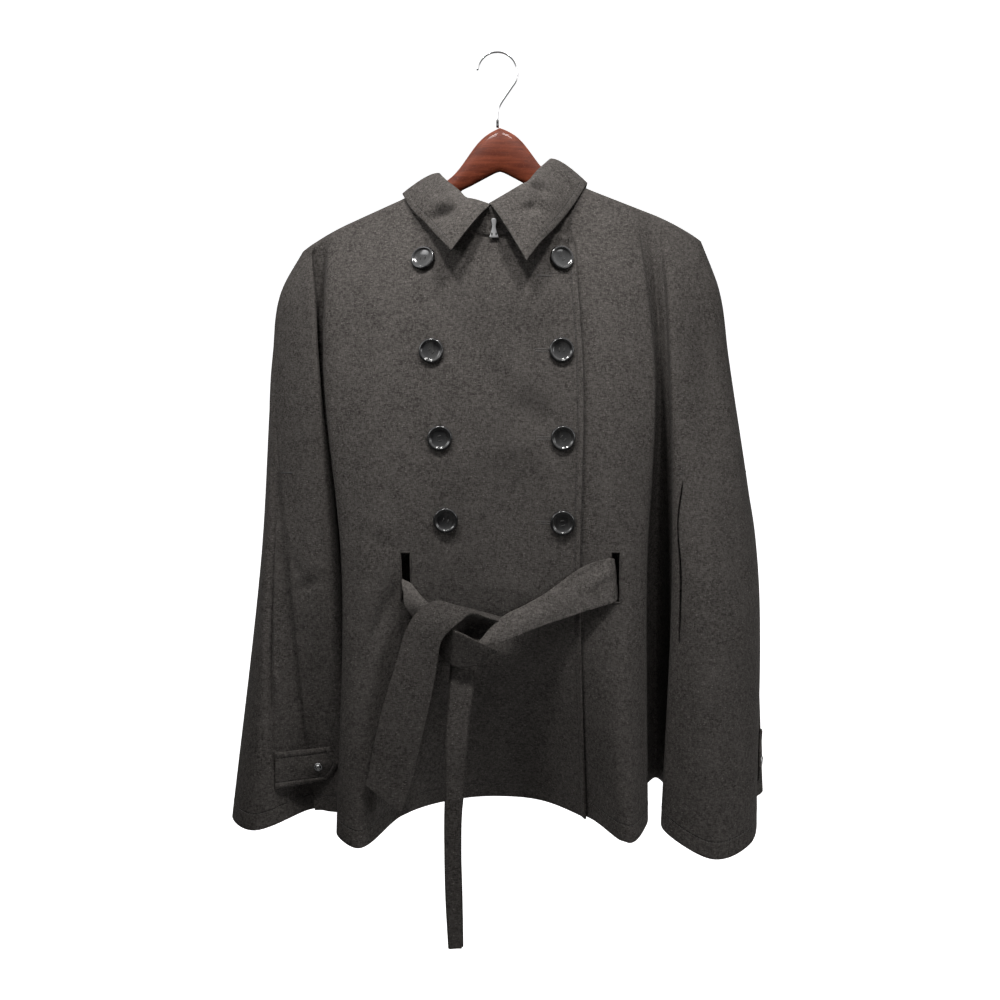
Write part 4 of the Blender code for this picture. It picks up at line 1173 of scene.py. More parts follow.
class Cloth:
    """One panel of the garment's body: where its surface is, with its folds and its lift."""

    def __init__(self, drape, lift, ceiling=None, behind=False):
        self.drape = drape
        self.lift = lift
        self.ceiling = ceiling
        self.behind = behind

    def folds(self, places, points):
        """How far the listed creases move the cloth at points."""
        drape = self.drape
        wrapped = np.where(places > 1.0, places - 1.0, places)
        seam = drape.right_seam
        spans = {
            "left_wing": (0.0, drape.place("left_wing_roll")),
            "body": (drape.place("left_body_edge"), drape.place("right_body_edge")),
            "right_wing": (drape.place("right_wing_edge"), seam),
            "back": (seam, 1.0),
        }
        if self.behind:
            spans["left_vent"] = (drape.place("left_side") - CREASE_RIM, 1.04)
            spans["right_vent"] = (seam - 0.04, drape.place("right_side") + CREASE_RIM)
        total = np.zeros(wrapped.shape)
        for name, (first, last) in spans.items():
            table = [row[1:] for row in CREASES if row[0] == name]
            over = places if "vent" in name else wrapped
            rim = CREASE_RIM / 3 if "wing" in name else CREASE_RIM
            inside = smooth(first, first + rim, over) * (1 - smooth(last - rim, last, over))
            if inside.max() > 0:
                total += inside * crease_depth(points, table)
        return total * smooth(CREASES_FROM, YOKE_Z, points[..., 2])

    def at(self, places, heights, above=0.0):
        """Points on the cloth's middle, moved out by above, and its outward directions."""
        places, heights = np.broadcast_arrays(np.asarray(places, float), np.asarray(heights, float))
        points = self.drape.points(places, heights, self.ceiling)
        normals = self.drape.normals(places, heights, self.ceiling)
        normals[..., 1] *= 1 - self.drape.on_shoulder(places) * (heights >= -1e-6)
        normals = unit(normals)
        lifts = self.folds(places, points) + self.lift(places, points[..., 2])
        return points + normals * (lifts + above)[..., None], normals


def cloth_heights():
    """Heights of the rows of cloth: closer together over the shoulder."""
    rows = [YOKE_Z * share for share in np.linspace(0.0, 1.0, SHOULDER_ROWS) ** SHOULDER_POWER]
    fixed = (YOKE_Z, SLIT_TOP, SLOT_TOP, SLOT_BOTTOM, SLIT_BOTTOM, HEM_Z)
    for upper, lower in zip(fixed[:-1], fixed[1:]):
        count = max(2, round((upper - lower) / ROW_STEP))
        rows.extend(np.linspace(upper, lower, count + 1)[1:])
    return np.array(rows)


def panel(name, cloth, places, finish, node, cuts=(), kept=None, sewn=None):
    """A panel of the coat's body with its openings. Gives back the rows of sewing on it.

    sewn says which free edge is sewn: 0 for the one at the first place, 1 at the last.
    """
    heights = cloth_heights()
    places = np.array(places, float)
    table = np.repeat(places[None, :], len(heights), axis=0)
    whole = np.ones((len(heights) - 1, len(places) - 1), bool)
    for cut in cuts:
        table += cut.push(places, heights)
        inside = (heights[:-1] <= cut.top + 0.5) & (heights[1:] >= cut.bottom - 0.5)
        whole[inside, int(np.searchsorted(places, cut.middle)) - 1] = False
    if kept is not None:
        whole &= kept(heights[:-1, None], places[None, :-1], places[None, 1:])
    grid, normals = cloth.at(table, heights[:, None])
    _, from_hem, *from_sides = borders(grid)
    marks = from_hem - HEM_SEWING
    rows = [topstitched(crossing(grid, normals, marks, whole))]
    if sewn is not None:
        edge = from_sides[sewn] - EDGE_SEWING
        marks = nearer(marks, edge)
        rows.append(topstitched(crossing_across(grid, normals, edge, whole)))
    made = cloth_piece(name, grid, finish, node, CLOTH, CLOTH_ROUND, whole, marks)
    area = flat_size(grid, whole)
    return rows


def crossing(grid, normals, values, whole=None):
    """Points and directions down a grid's columns where the values pass zero."""
    points = []
    outward = []
    for j in range(grid.shape[1]):
        column = values[:, j]
        found = np.nonzero(column[:-1] * column[1:] <= 0)[0]
        if not len(found):
            continue
        i = found[-1]
        if whole is not None and not whole[i, min(j, whole.shape[1] - 1)]:
            continue
        share = column[i] / (column[i] - column[i + 1])
        points.append(grid[i, j] * (1 - share) + grid[i + 1, j] * share)
        outward.append(normals[i, j] * (1 - share) + normals[i + 1, j] * share)
    return np.array(points), np.array(outward)


def crossing_across(grid, normals, values, whole=None):
    """The same along a grid's rows."""
    turned = None if whole is None else whole.T
    return crossing(np.swapaxes(grid, 0, 1), np.swapaxes(normals, 0, 1), values.T, turned)


def nearer(one, other):
    """Of two signed distances, the one nearer to its row of sewing."""
    return np.where(np.abs(one) < np.abs(other), one, other)


def read_row(spot, along, values):
    """A row's point or direction at a distance along it."""
    return Vector([np.interp(spot, along, column) for column in np.asarray(values).T])


def sewing(name, rows, thread):
    """Stitches along rows: points, outward directions, pitch, and size along and across the row."""
    work = bmesh.new()
    batch = bpy.data.meshes.new("batch")
    for points, normals, pitch, length, width in rows:
        along = running(lengths(points))
        count = max(1, int(along[-1] // pitch))
        size = Matrix.Diagonal((min(length, width) / 2, width / 2, length / 2, 1.0))
        lying = Matrix.Scale(MM, 4) @ Matrix.Rotation(math.pi / 2, 4, "Y") @ size
        few = bmesh.new()
        for k in range(count):
            middle = (k + 0.5) * along[-1] / count
            before = read_row(middle - STITCH_LOOK, along, points)
            after = read_row(middle + STITCH_LOOK, along, points)
            out = read_row(middle, along, normals).normalized()
            ahead = (after - before).normalized()
            side = ahead.cross(out).normalized()
            frame = Matrix((ahead, side, out)).transposed().to_4x4()
            spot = Matrix.Translation((read_row(middle, along, points) + out * STITCH_LIFT) * MM)
            bmesh.ops.create_uvsphere(
                few, u_segments=6, v_segments=4, radius=1.0, matrix=spot @ frame @ lying
            )
            if len(few.verts) > BATCH_POINTS or k == count - 1:
                few.to_mesh(batch)
                work.from_mesh(batch)
                few.clear()
        few.free()
    bpy.data.meshes.remove(batch)
    return piece(name, work, thread)


def topstitched(row, half=CLOTH / 2):
    """A row of ordinary topstitching on a path over the middle of the cloth."""
    points, normals = row
    return points + normals * half, normals, STITCH_PITCH, STITCH_LENGTH, STITCH_THICK


def close_stitched(cloth, places, height, stitch):
    """A row of close stitches on the cloth at one height."""
    points, normals = cloth.at(np.asarray(places), height, CLOTH / 2)
    return points, normals, *stitch


def buttonhole(cloth, x, z):
    """Two close rows of stitches on each side of a level slit that ends at x."""
    spots = [
        cloth.drape.find(x - HOLE_LONG * share, z, "left_crest", "right_crest")
        for share in np.linspace(0.0, 1.0, 6)
    ]
    return [close_stitched(cloth, spots, z + side, HOLE_STITCH) for side in (-HOLE_LIP, HOLE_LIP)]


def ring(work, radius, sides, matrix):
    """The points of a circle."""
    made = bmesh.ops.create_circle(
        work, cap_ends=False, segments=sides, radius=radius, matrix=matrix
    )
    return made["verts"]


def bridge(work, rings):
    """Covers a row of rings and closes its ends."""
    for pair in zip(rings[:-1], rings[1:]):
        edges = {e for loop in pair for v in loop for e in v.link_edges if e.other_vert(v) in loop}
        bmesh.ops.bridge_loops(work, edges=list(edges))
    bmesh.ops.holes_fill(work, edges=[e for e in work.edges if e.is_boundary], sides=0)
    bmesh.ops.recalc_face_normals(work, faces=work.faces)


def tube(work, path, radii, sides, frame=Matrix.Identity(4), across=(0.0, 1.0, 0.0)):
    """A round bar along a path of points, with a radius at each."""
    rings = []
    for point, forward, radius in zip(path, unit(np.gradient(path, axis=0)), radii):
        forward = Vector(forward)
        side = Vector(across)
        if abs(forward.dot(side)) > 0.9:
            side = Vector((1.0, 0.0, 0.0))
        up = forward.cross(side).normalized()
        side = up.cross(forward).normalized()
        turned = Matrix((side, up, forward)).transposed().to_4x4()
        spot = frame @ Matrix.Translation(Vector(point) * MM) @ turned
        rings.append(ring(work, radius * MM, sides, spot))
    bridge(work, rings)


def turned_on_lathe(profile, sides):
    """A round bmesh from a profile of radius and height."""
    work = bmesh.new()
    points = [work.verts.new((radius * MM, 0.0, height * MM)) for radius, height in profile]
    edges = [work.edges.new(pair) for pair in zip(points[:-1], points[1:])]
    bmesh.ops.spin(
        work, geom=points + edges, cent=(0, 0, 0), axis=(0, 0, 1), angle=2 * math.pi, steps=sides,
        use_merge=True,
    )
    bmesh.ops.remove_doubles(work, verts=work.verts, dist=0.002 * MM)
    bmesh.ops.recalc_face_normals(work, faces=work.faces)
    return work


def stand(centre, normal):
    """Turns and moves a piece made round the Z axis so that it stands on centre."""
    out = Vector(normal).normalized()
    across = out.cross(Vector((0.0, 0.0, 1.0))).normalized()
    frame = Matrix((across, across.cross(out), out)).transposed().to_4x4()
    return Matrix.Translation(Vector(centre) * MM) @ frame


def path_curve(rows, points):
    """A smooth curve through rows of values, by distance along their points, and its length."""
    along = running(lengths(points))
    return Curve(along, rows), along[-1]


def strip(rows, steps):
    """Evenly spaced rows of a strip's two edges and bulge, and its length."""
    rows = np.array(rows, float)
    curve, length = path_curve(rows, (rows[:, :3] + rows[:, 3:6]) / 2)
    return curve.at(np.linspace(0.0, length, steps))[:, None], length


def belt_piece(name, grid, finish, node):
    """A piece of the belt on a grid."""
    made = cloth_piece(name, grid, finish, node, BELT_THICK, BELT_ROUND)


def ribbon(name, rows, finish, node, steps, columns=15, dents=()):
    """A stretch of the tie belt, with its own small dents."""
    values, _ = strip(rows, steps)
    share = np.linspace(0.0, 1.0, columns)[None, :, None]
    grid = values[..., :3] * (1 - share) + values[..., 3:6] * share
    grid[..., 1] -= np.sin(math.pi * share[..., 0]) * values[..., 6]
    grid = grid + grid_normals(grid) * crease_depth(grid, dents)[..., None]
    belt_piece(name, grid, finish, node)


def folded_ribbon(name, rows, finish, node, steps, columns=34):
    """The tie's narrow end, folded along its left side so that two layers hang together."""
    values, length = strip(rows, steps)
    share = np.linspace(-1.0, 1.0, columns)[None, :, None]
    across = np.abs(share) ** FOLD_POWER
    grid = values[..., :3] * (1 - across) + values[..., 3:6] * across
    grid[..., 0:1] += (share < 0) * across * FOLD_OFFSET
    down = np.linspace(0.0, FOLD_WAVES, steps)[:, None]
    waves = FOLD_WAVE * np.sin(down) * np.sin(across[..., 0] * FOLD_ACROSS)
    grid[..., 1] += waves - FOLD_OPEN * np.clip(share[..., 0] / FOLD_SHARE, -1.0, 1.0)
    belt_piece(name, grid, finish, node)


def build_welt(name, cloth, place, half, wool):
    """A thin corded edge round a belt slot."""
    steps = np.linspace(0.0, 1.0, 8)
    top = SLOT_TOP + WELT_PAST
    bottom = SLOT_BOTTOM - WELT_PAST
    places = [place - half] * 8 + list(place - half + 2 * half * steps[1:-1])
    heights = list(bottom + (top - bottom) * steps) + [top] * 6
    places += [place + half] * 8 + list(place + half - 2 * half * steps[1:])
    heights += list(top + (bottom - top) * steps) + [bottom] * 7
    points, _ = cloth.at(places, heights, CLOTH / 2 - WELT_SUNK)
    work = bmesh.new()
    tube(work, points, [WELT_RADIUS] * len(points), 8)
    piece(name, work, wool)


def build_collar(wool):
    """The collar's leaf, rolled over its fold line, and its band. Gives back its sewing."""
    rows = np.array([row[1:] for row in COLLAR], float)
    curve, length = path_curve(rows, rows[:, 1:4])
    rows = curve.at(np.linspace(0.0, length, COLLAR_COLUMNS))
    fold = rows[:, 1:4]
    outer = rows[:, 4:7]
    roll = rows[:, 7:8]
    outward = fold - np.array([0.0, NECK_CENTRE_Y, 0.0])
    outward[:, 2] = 0.0
    outward = unit(outward)
    start = fold + np.array([0.0, 0.0, ROLL_ABOVE])
    middle = start + (outer - start) * ROLL_SHARE + outward * roll
    middle[:, 2] += roll[:, 0]
    share = (np.linspace(0.0, 1.0, COLLAR_ROWS) ** COLLAR_POWER)[:, None, None]
    rest = 1 - share
    grid = rest ** 2 * start + 2 * share * rest * middle + share ** 2 * outer
    table = [
        (x1, z1, (x1 + x2) / 2, (z1 + z2) / 2, x2, z2, half, depth)
        for x1, z1, x2, z2, half, depth in COLLAR_DIMPLES
    ]
    dents = crease_depth(grid, table) * (grid[..., 1] < COLLAR_BACK_Y)
    normals = grid_normals(grid)
    facing = np.sign(np.sum(normals * outward, axis=2, keepdims=True))
    normals = normals * np.where(facing == 0, 1, facing)
    grid = grid + normals * dents[..., None]
    _, below, first, last = (distance - EDGE_SEWING for distance in borders(grid))
    sewn = [crossing(grid, normals, np.where((first > 0) & (last > 0), below, 1.0))]
    for edge in (first, last):
        sewn.append(crossing_across(grid, normals, np.where(below > 0, edge, 1.0)))
    marks = nearer(nearer(below, first), last)
    fall = cloth_piece(
        "collar_leaf", grid, wool, "collar_fall", COLLAR_CLOTH, COLLAR_ROUND, None, marks
    )
    area = flat_size(grid)
    length = float(lengths(grid[-1]).sum()) * MM
    area / length * 1.15

    lap = np.repeat(rows[-1:], len(BAND_LAP), axis=0)
    lap[:, :4] += BAND_LAP
    rows = np.concatenate([rows, lap])
    outward = np.concatenate([outward, np.repeat(outward[-1:], len(BAND_LAP), axis=0)])
    turn = np.radians(rows[:, 0])
    low_x = -NECK_HALF * np.sin(turn)
    low_y, low_z = top_edge(low_x, np.where(np.cos(turn) > 0, -1.0, 1.0))
    under = smooth(UNDER_FREE_Z, UNDER_FULL_Z, low_z) * (turn > math.pi)
    raised = NECK_RAISE + ARM_CLEAR * np.abs(np.sin(turn)) ** 8
    low = np.stack([low_x, low_y + LAP_LAYER * under, low_z + raised], axis=1)
    high = rows[:, 1:4] - outward * BAND_INSIDE - np.array([0.0, 0.0, BAND_BELOW])
    share = np.linspace(0.0, 1.0, BAND_ROWS)[:, None, None]
    grid = low * (1 - share) + high * share
    band = cloth_piece("collar_band", grid, wool, "collar_stand")
    area = flat_size(grid)
    length = float(lengths(grid[BAND_ROWS // 2]).sum()) * MM
    area / length * 1.1
    return [topstitched(row, COLLAR_CLOTH / 2) for row in sewn]


def build_tab(name, cloth, seam, toward_front, wool, metal):
    """A pointed tab across a vent, from the back on to the front, with its snap."""
    step = cloth.drape.per_mm(seam, TAB_TOP - TAB_DEPTH / 2) * toward_front
    down = np.linspace(0.0, 1.0, TAB_ROWS)
    knots, reaches = np.array(TAB_END).T
    reach = Curve(knots, reaches[:, None]).at(down)[:, 0]
    reach = np.minimum(reach, np.interp(down, knots, reaches) + TAB_ROUND)[:, None]
    share = np.linspace(0.0, 1.0, TAB_COLUMNS)[None, :]
    places = seam + step * (-TAB_BACK + (reach + TAB_BACK) * share)
    heights = TAB_TOP - TAB_DEPTH * down[:, None] + TAB_RISE * (1 - share)
    grid = cloth.drape.points(places, heights)
    normals = grid_normals(grid) * toward_front
    lift = TAB_SEWN + (TAB_OVER - TAB_SEWN) * smooth(0.0, TAB_RISEN, share)
    grid = grid + normals * lift[..., None]

    # Pulled straight between its ends, it clears the cloth by the bow of the highest spot
    start = grid[:, :1]
    reaching = grid[:, -1:] - start
    bow = 4 * share * (1 - share)
    standing = np.sum((grid - start - reaching * share[..., None]) * normals, axis=2)
    inner = (share > TAB_INNER[0]) & (share < TAB_INNER[1])
    most = np.max(np.where(inner, standing / np.maximum(bow, LEAST_BOW), 0.0))
    longer = 1 + TAB_LONGER / (reach + TAB_BACK)
    out = normals[:, TAB_COLUMNS // 2][:, None]
    grid = start + reaching * (share * longer)[..., None] + out * (most * bow - TAB_LOWER)[..., None]
    normals = grid_normals(grid) * toward_front
    upper, lower, _, tip = (distance - TAB_SEWING for distance in borders(grid))
    rows = [crossing(grid, normals, np.where(tip > 0, edge, 1.0)) for edge in (upper, lower)]
    held = np.where((upper > 0) & (lower > 0), tip, 1.0)
    rows.append(crossing_across(grid, normals, held))
    middle = TAB_ROWS // 2
    length = float(lengths(grid[middle]).sum()) * MM
    border = np.minimum(np.minimum(upper, lower), tip) + TAB_SEWING
    puff = TAB_PUFF * np.sin(math.pi * np.clip(border / TAB_SEWING, 0.0, 1.0))
    grid = grid + normals * puff[..., None]
    marks = nearer(nearer(upper, lower), tip)
    made = cloth_piece("vent_tab_" + name, grid, wool, "tab_" + name, marks=marks)
    min(flat_size(grid), length * TAB_DEPTH * MM)
    whole_reach = reach[middle, 0] + TAB_LONGER + TAB_BACK
    place = int(round((TAB_BACK + SNAP_REACH) / whole_reach * (TAB_COLUMNS - 1)))
    normal = grid_normals(grid)[middle, place] * toward_front
    foot = grid[middle, place] + normal * (CLOTH / 2 + SNAP_GAP)
    snap = turned_on_lathe(SNAP_TURNED, SNAP_SIDES)
    bmesh.ops.transform(snap, matrix=stand(foot, normal), verts=snap.verts)
    piece("vent_snap_" + name, snap, metal, ("snap_" + name,))
    return [topstitched(row) for row in rows if len(row[0]) > 1]


def build_button(name, foot, normal, turn, horn, thread):
    """A four-hole button with a raised rim and a dished middle, and the thread through it."""
    frame = stand(foot, normal) @ Matrix.Rotation(turn, 4, "Z")
    work = turned_on_lathe(BUTTON_TURNED, BUTTON_SIDES)
    drill = bmesh.new()
    for x in (-HOLE_SPACING, HOLE_SPACING):
        for y in (-HOLE_SPACING, HOLE_SPACING):
            bmesh.ops.create_cone(
                drill,
                cap_ends=True,
                segments=HOLE_SIDES,
                radius1=HOLE_RADIUS * HOLE_BACK * MM,
                radius2=HOLE_RADIUS * HOLE_FRONT * MM,
                depth=HOLE_DEEP * 2 * MM,
                matrix=Matrix.Translation(Vector((x, y, HOLE_MIDDLE)) * MM),
            )
    for part in (work, drill):
        bmesh.ops.transform(part, matrix=frame, verts=part.verts)
    made = piece("horn_" + name, work, horn, (name,))
    cutter = from_bmesh("drill", drill)
    holes = made.modifiers.new("holes", "BOOLEAN")
    holes.object = cutter
    holes.operation = "DIFFERENCE"
    holes.solver = "EXACT"
    settle(made)
    bpy.data.objects.remove(cutter)
    for face in made.data.polygons:
        face.use_smooth = True
    made.data.set_sharp_from_angle(angle=math.radians(BUTTON_SHARP))

    work = bmesh.new()
    for x in (-HOLE_SPACING, HOLE_SPACING):
        for strand in (-STRAND, STRAND):
            arch = [
                (x + strand, HOLE_SPACING * step, ARCH_TOP - ARCH_FALL * abs(step) ** 3)
                for step in np.linspace(-1.0, 1.0, 9)
            ]
            tube(work, arch, [STRAND] * len(arch), 8, frame, (1.0, 0.0, 0.0))
    piece("thread_" + name, work, thread)


def build_hanger(wood, chrome):
    """The curved wooden arm, rounded all over, and the wire hook out of its top."""
    left = ARM_LEFT + ARM_INSET
    right = ARM_RIGHT - ARM_INSET
    ends = ARM_END * (1 - np.cos(np.linspace(0.0, math.pi / 2, ARM_END_RINGS)))
    between = np.linspace(left + ARM_ENDS, right - ARM_ENDS, ARM_RINGS)
    facing = Matrix(((0, 0, 1, 0), (1, 0, 0, 0), (0, 1, 0, 0), (0, 0, 0, 1)))
    work = bmesh.new()
    rings = []
    for x in (*(left + ends), *between, *(right - ends)[::-1]):
        near_end = min(1.0, min(x - left, right - x) / ARM_END + ARM_TIP)
        taper = math.sqrt(max(0.0, 1 - (1 - near_end) ** 2))
        deep = arm_height(x) * (ARM_TIP_DEEP + (1 - ARM_TIP_DEEP) * taper)
        size = Matrix.Diagonal((ARM_THICK * taper / 2 * MM, deep / 2 * MM, 1.0, 1.0))
        spot = Matrix.Translation(Vector((x, 0.0, arm_top(x) - ARM_SEAT - deep / 2)) * MM)
        rings.append(ring(work, 1.0, ARM_SIDES, spot @ facing @ size))
    bridge(work, rings)
    piece("hanger_arm", work, wood, ("hanger_wood",))

    path = []
    for turn in np.radians(np.linspace(*HOOK_TURNS, HOOK_POINTS)):
        across = HOOK_RADIUS * math.cos(turn)
        path.append((across, 0.0, HOOK_WIRE - HOOK_RADIUS + HOOK_RADIUS * math.sin(turn)))
    stem = Curve(range(6), [path[-8], path[-1], *HOOK_STEM])
    lower = stem.at(np.linspace(1.0, 5.0, STEM_POINTS))
    path.extend(tuple(point) for point in lower[1:])
    foot_x = HOOK_STEM[-1][0]
    path.append((foot_x, 0.0, float(arm_top(foot_x)) + SEAM_GAP + HOOK_SUNK))
    ahead = unit(np.array(path[0]) - np.array(path[1]))
    tip = [tuple(np.array(path[0]) + ahead * step) for step, _ in HOOK_TIP]
    radii = [radius for _, radius in HOOK_TIP] + [HOOK_WIRE] * len(path)
    work = bmesh.new()
    tube(work, tip + path, radii, HOOK_SIDES)
    piece("hanger_wire", work, chrome, ("hanger_hook",))


def clasp_stitches():
    """The thread that holds the neck hook, over its two feet."""
    rows = []
    for x in (NECK_HOOK_X - CLASP_HALF, NECK_HOOK_X + CLASP_HALF):
        points = [(x, NECK_HOOK_Y, NECK_HOOK_TOP - drop) for drop in CLASP_DROPS]
        rows.append((points, [(0.0, -1.0, 0.0)] * 2, *CLASP_STITCH))
    return rows


def build_neck_hook(metal):
    """The flat wire hook of the neck's hook and eye, with its two sewing loops."""
    left = [(NECK_HOOK_X - half, NECK_HOOK_TOP - drop) for half, drop in NECK_HOOK_OUTLINE]
    right = [(NECK_HOOK_X + half, NECK_HOOK_TOP - drop) for half, drop in NECK_HOOK_OUTLINE]
    corners = left + right[::-1]
    outline = Curve(range(len(corners)), corners)
    outline = outline.at(np.linspace(0.0, len(corners) - 1.0, CLASP_POINTS))
    work = bmesh.new()
    front = work.faces.new([work.verts.new((x * MM, NECK_HOOK_Y * MM, z * MM)) for x, z in outline])
    made = bmesh.ops.extrude_face_region(work, geom=[front])["geom"]
    moved = [v for v in made if isinstance(v, bmesh.types.BMVert)]
    bmesh.ops.translate(work, verts=moved, vec=(0.0, NECK_HOOK_THICK * MM, 0.0))
    rim = [e for e in work.edges if e.calc_face_angle(0.0) > 1.0]
    bmesh.ops.bevel(
        work, geom=rim, offset=CLASP_ROUND * MM, offset_type="OFFSET", segments=3, affect="EDGES",
        profile=0.5, material=-1,
    )
    bmesh.ops.recalc_face_normals(work, faces=work.faces)
    piece("clasp_hook", work, metal, ("neck_hook",))


def add_light(name, place, aim, energy, width, height, spread_angle, tone):
    """A soft box turned towards a point."""
    lamp = bpy.data.lights.new(name, "AREA")
    lamp.shape = "RECTANGLE"
    lamp.size = width
    lamp.size_y = height
    lamp.energy = energy
    lamp.spread = math.radians(spread_angle)
    lamp.color = tone
    made = placed(name, lamp)
    made.location = place
    made.rotation_euler = (Vector(aim) - Vector(place)).to_track_quat("-Z", "Y").to_euler()


def build_air():
    """White walls seen only in polished things: bright overhead, dim towards the front."""
    world = bpy.data.worlds.new("studio_air")
    world.use_nodes = True
    nodes = world.node_tree.nodes
    links = world.node_tree.links
    aim = nodes.new("ShaderNodeTexCoord").outputs["Generated"]
    parts = nodes.new("ShaderNodeSeparateXYZ")
    links.new(aim, parts.inputs["Vector"])
    total = nodes.new("ShaderNodeMath")
    for index, (side, *values) in enumerate(AIR):
        part = nodes.new("ShaderNodeMapRange")
        part.interpolation_type = "SMOOTHSTEP"
        for name, value in zip(("From Min", "From Max", "To Min", "To Max"), values):
            part.inputs[name].default_value = value
        links.new(parts.outputs[side], part.inputs["Value"])
        links.new(part.outputs["Result"], total.inputs[index])
    links.new(total.outputs[0], nodes["Background"].inputs["Strength"])
    nodes["Background"].inputs["Color"].default_value = colour(1.0, 1.0, 1.0)
    world.cycles_visibility.diffuse = False
    bpy.context.scene.world = world


def build_studio():
    """A white paper sweep behind and below, soft boxes, and the camera."""
    rows = [(SWEEP_FRONT, SWEEP_FLOOR)]
    for turn in np.linspace(0.0, math.pi / 2, 17):
        y = SWEEP_BEND_Y + SWEEP_BEND * math.sin(turn)
        rows.append((y, SWEEP_FLOOR + SWEEP_BEND * (1 - math.cos(turn))))
    rows.append((SWEEP_BEND_Y + SWEEP_BEND, SWEEP_TOP))
    work = bmesh.new()
    points = [work.verts.new((-SWEEP_HALF, y, z)) for y, z in rows]
    edges = [work.edges.new(pair) for pair in zip(points[:-1], points[1:])]
    made = bmesh.ops.extrude_edge_only(work, edges=edges)["geom"]
    moved = [v for v in made if isinstance(v, bmesh.types.BMVert)]
    bmesh.ops.translate(work, verts=moved, vec=(2 * SWEEP_HALF, 0.0, 0.0))
    bmesh.ops.recalc_face_normals(work, faces=work.faces)
    from_bmesh("studio_sweep", work, studio_finish())

    build_air()
    for row in LIGHTS:
        add_light(*row)

    lens = bpy.data.cameras.new("photo_camera")
    lens.lens = LENS
    lens.sensor_width = LENS
    camera = placed("photo_camera", lens)
    camera.location = CAMERA_PLACE
    camera.rotation_euler = (math.pi / 2 - math.atan(CAMERA_FALL), 0.0, 0.0)
    scene = bpy.context.scene
    scene.camera = camera
    scene.view_settings.view_transform = "Standard"
    scene.view_settings.look = "None"


def vent_lift(from_seam, height):
    """How far the free edge of a front stands out along its vent, but for the tab's place."""
    below = smooth(VENT_FREE_FROM, VENT_FREE_TO, height)
    beside_tab = smooth(*TAB_HOLDS, np.abs(height - (TAB_TOP - TAB_DEPTH / 2)))
    return VENT_RAISE * (1 - smooth(0.0, VENT_REACH, from_seam)) * below * beside_tab


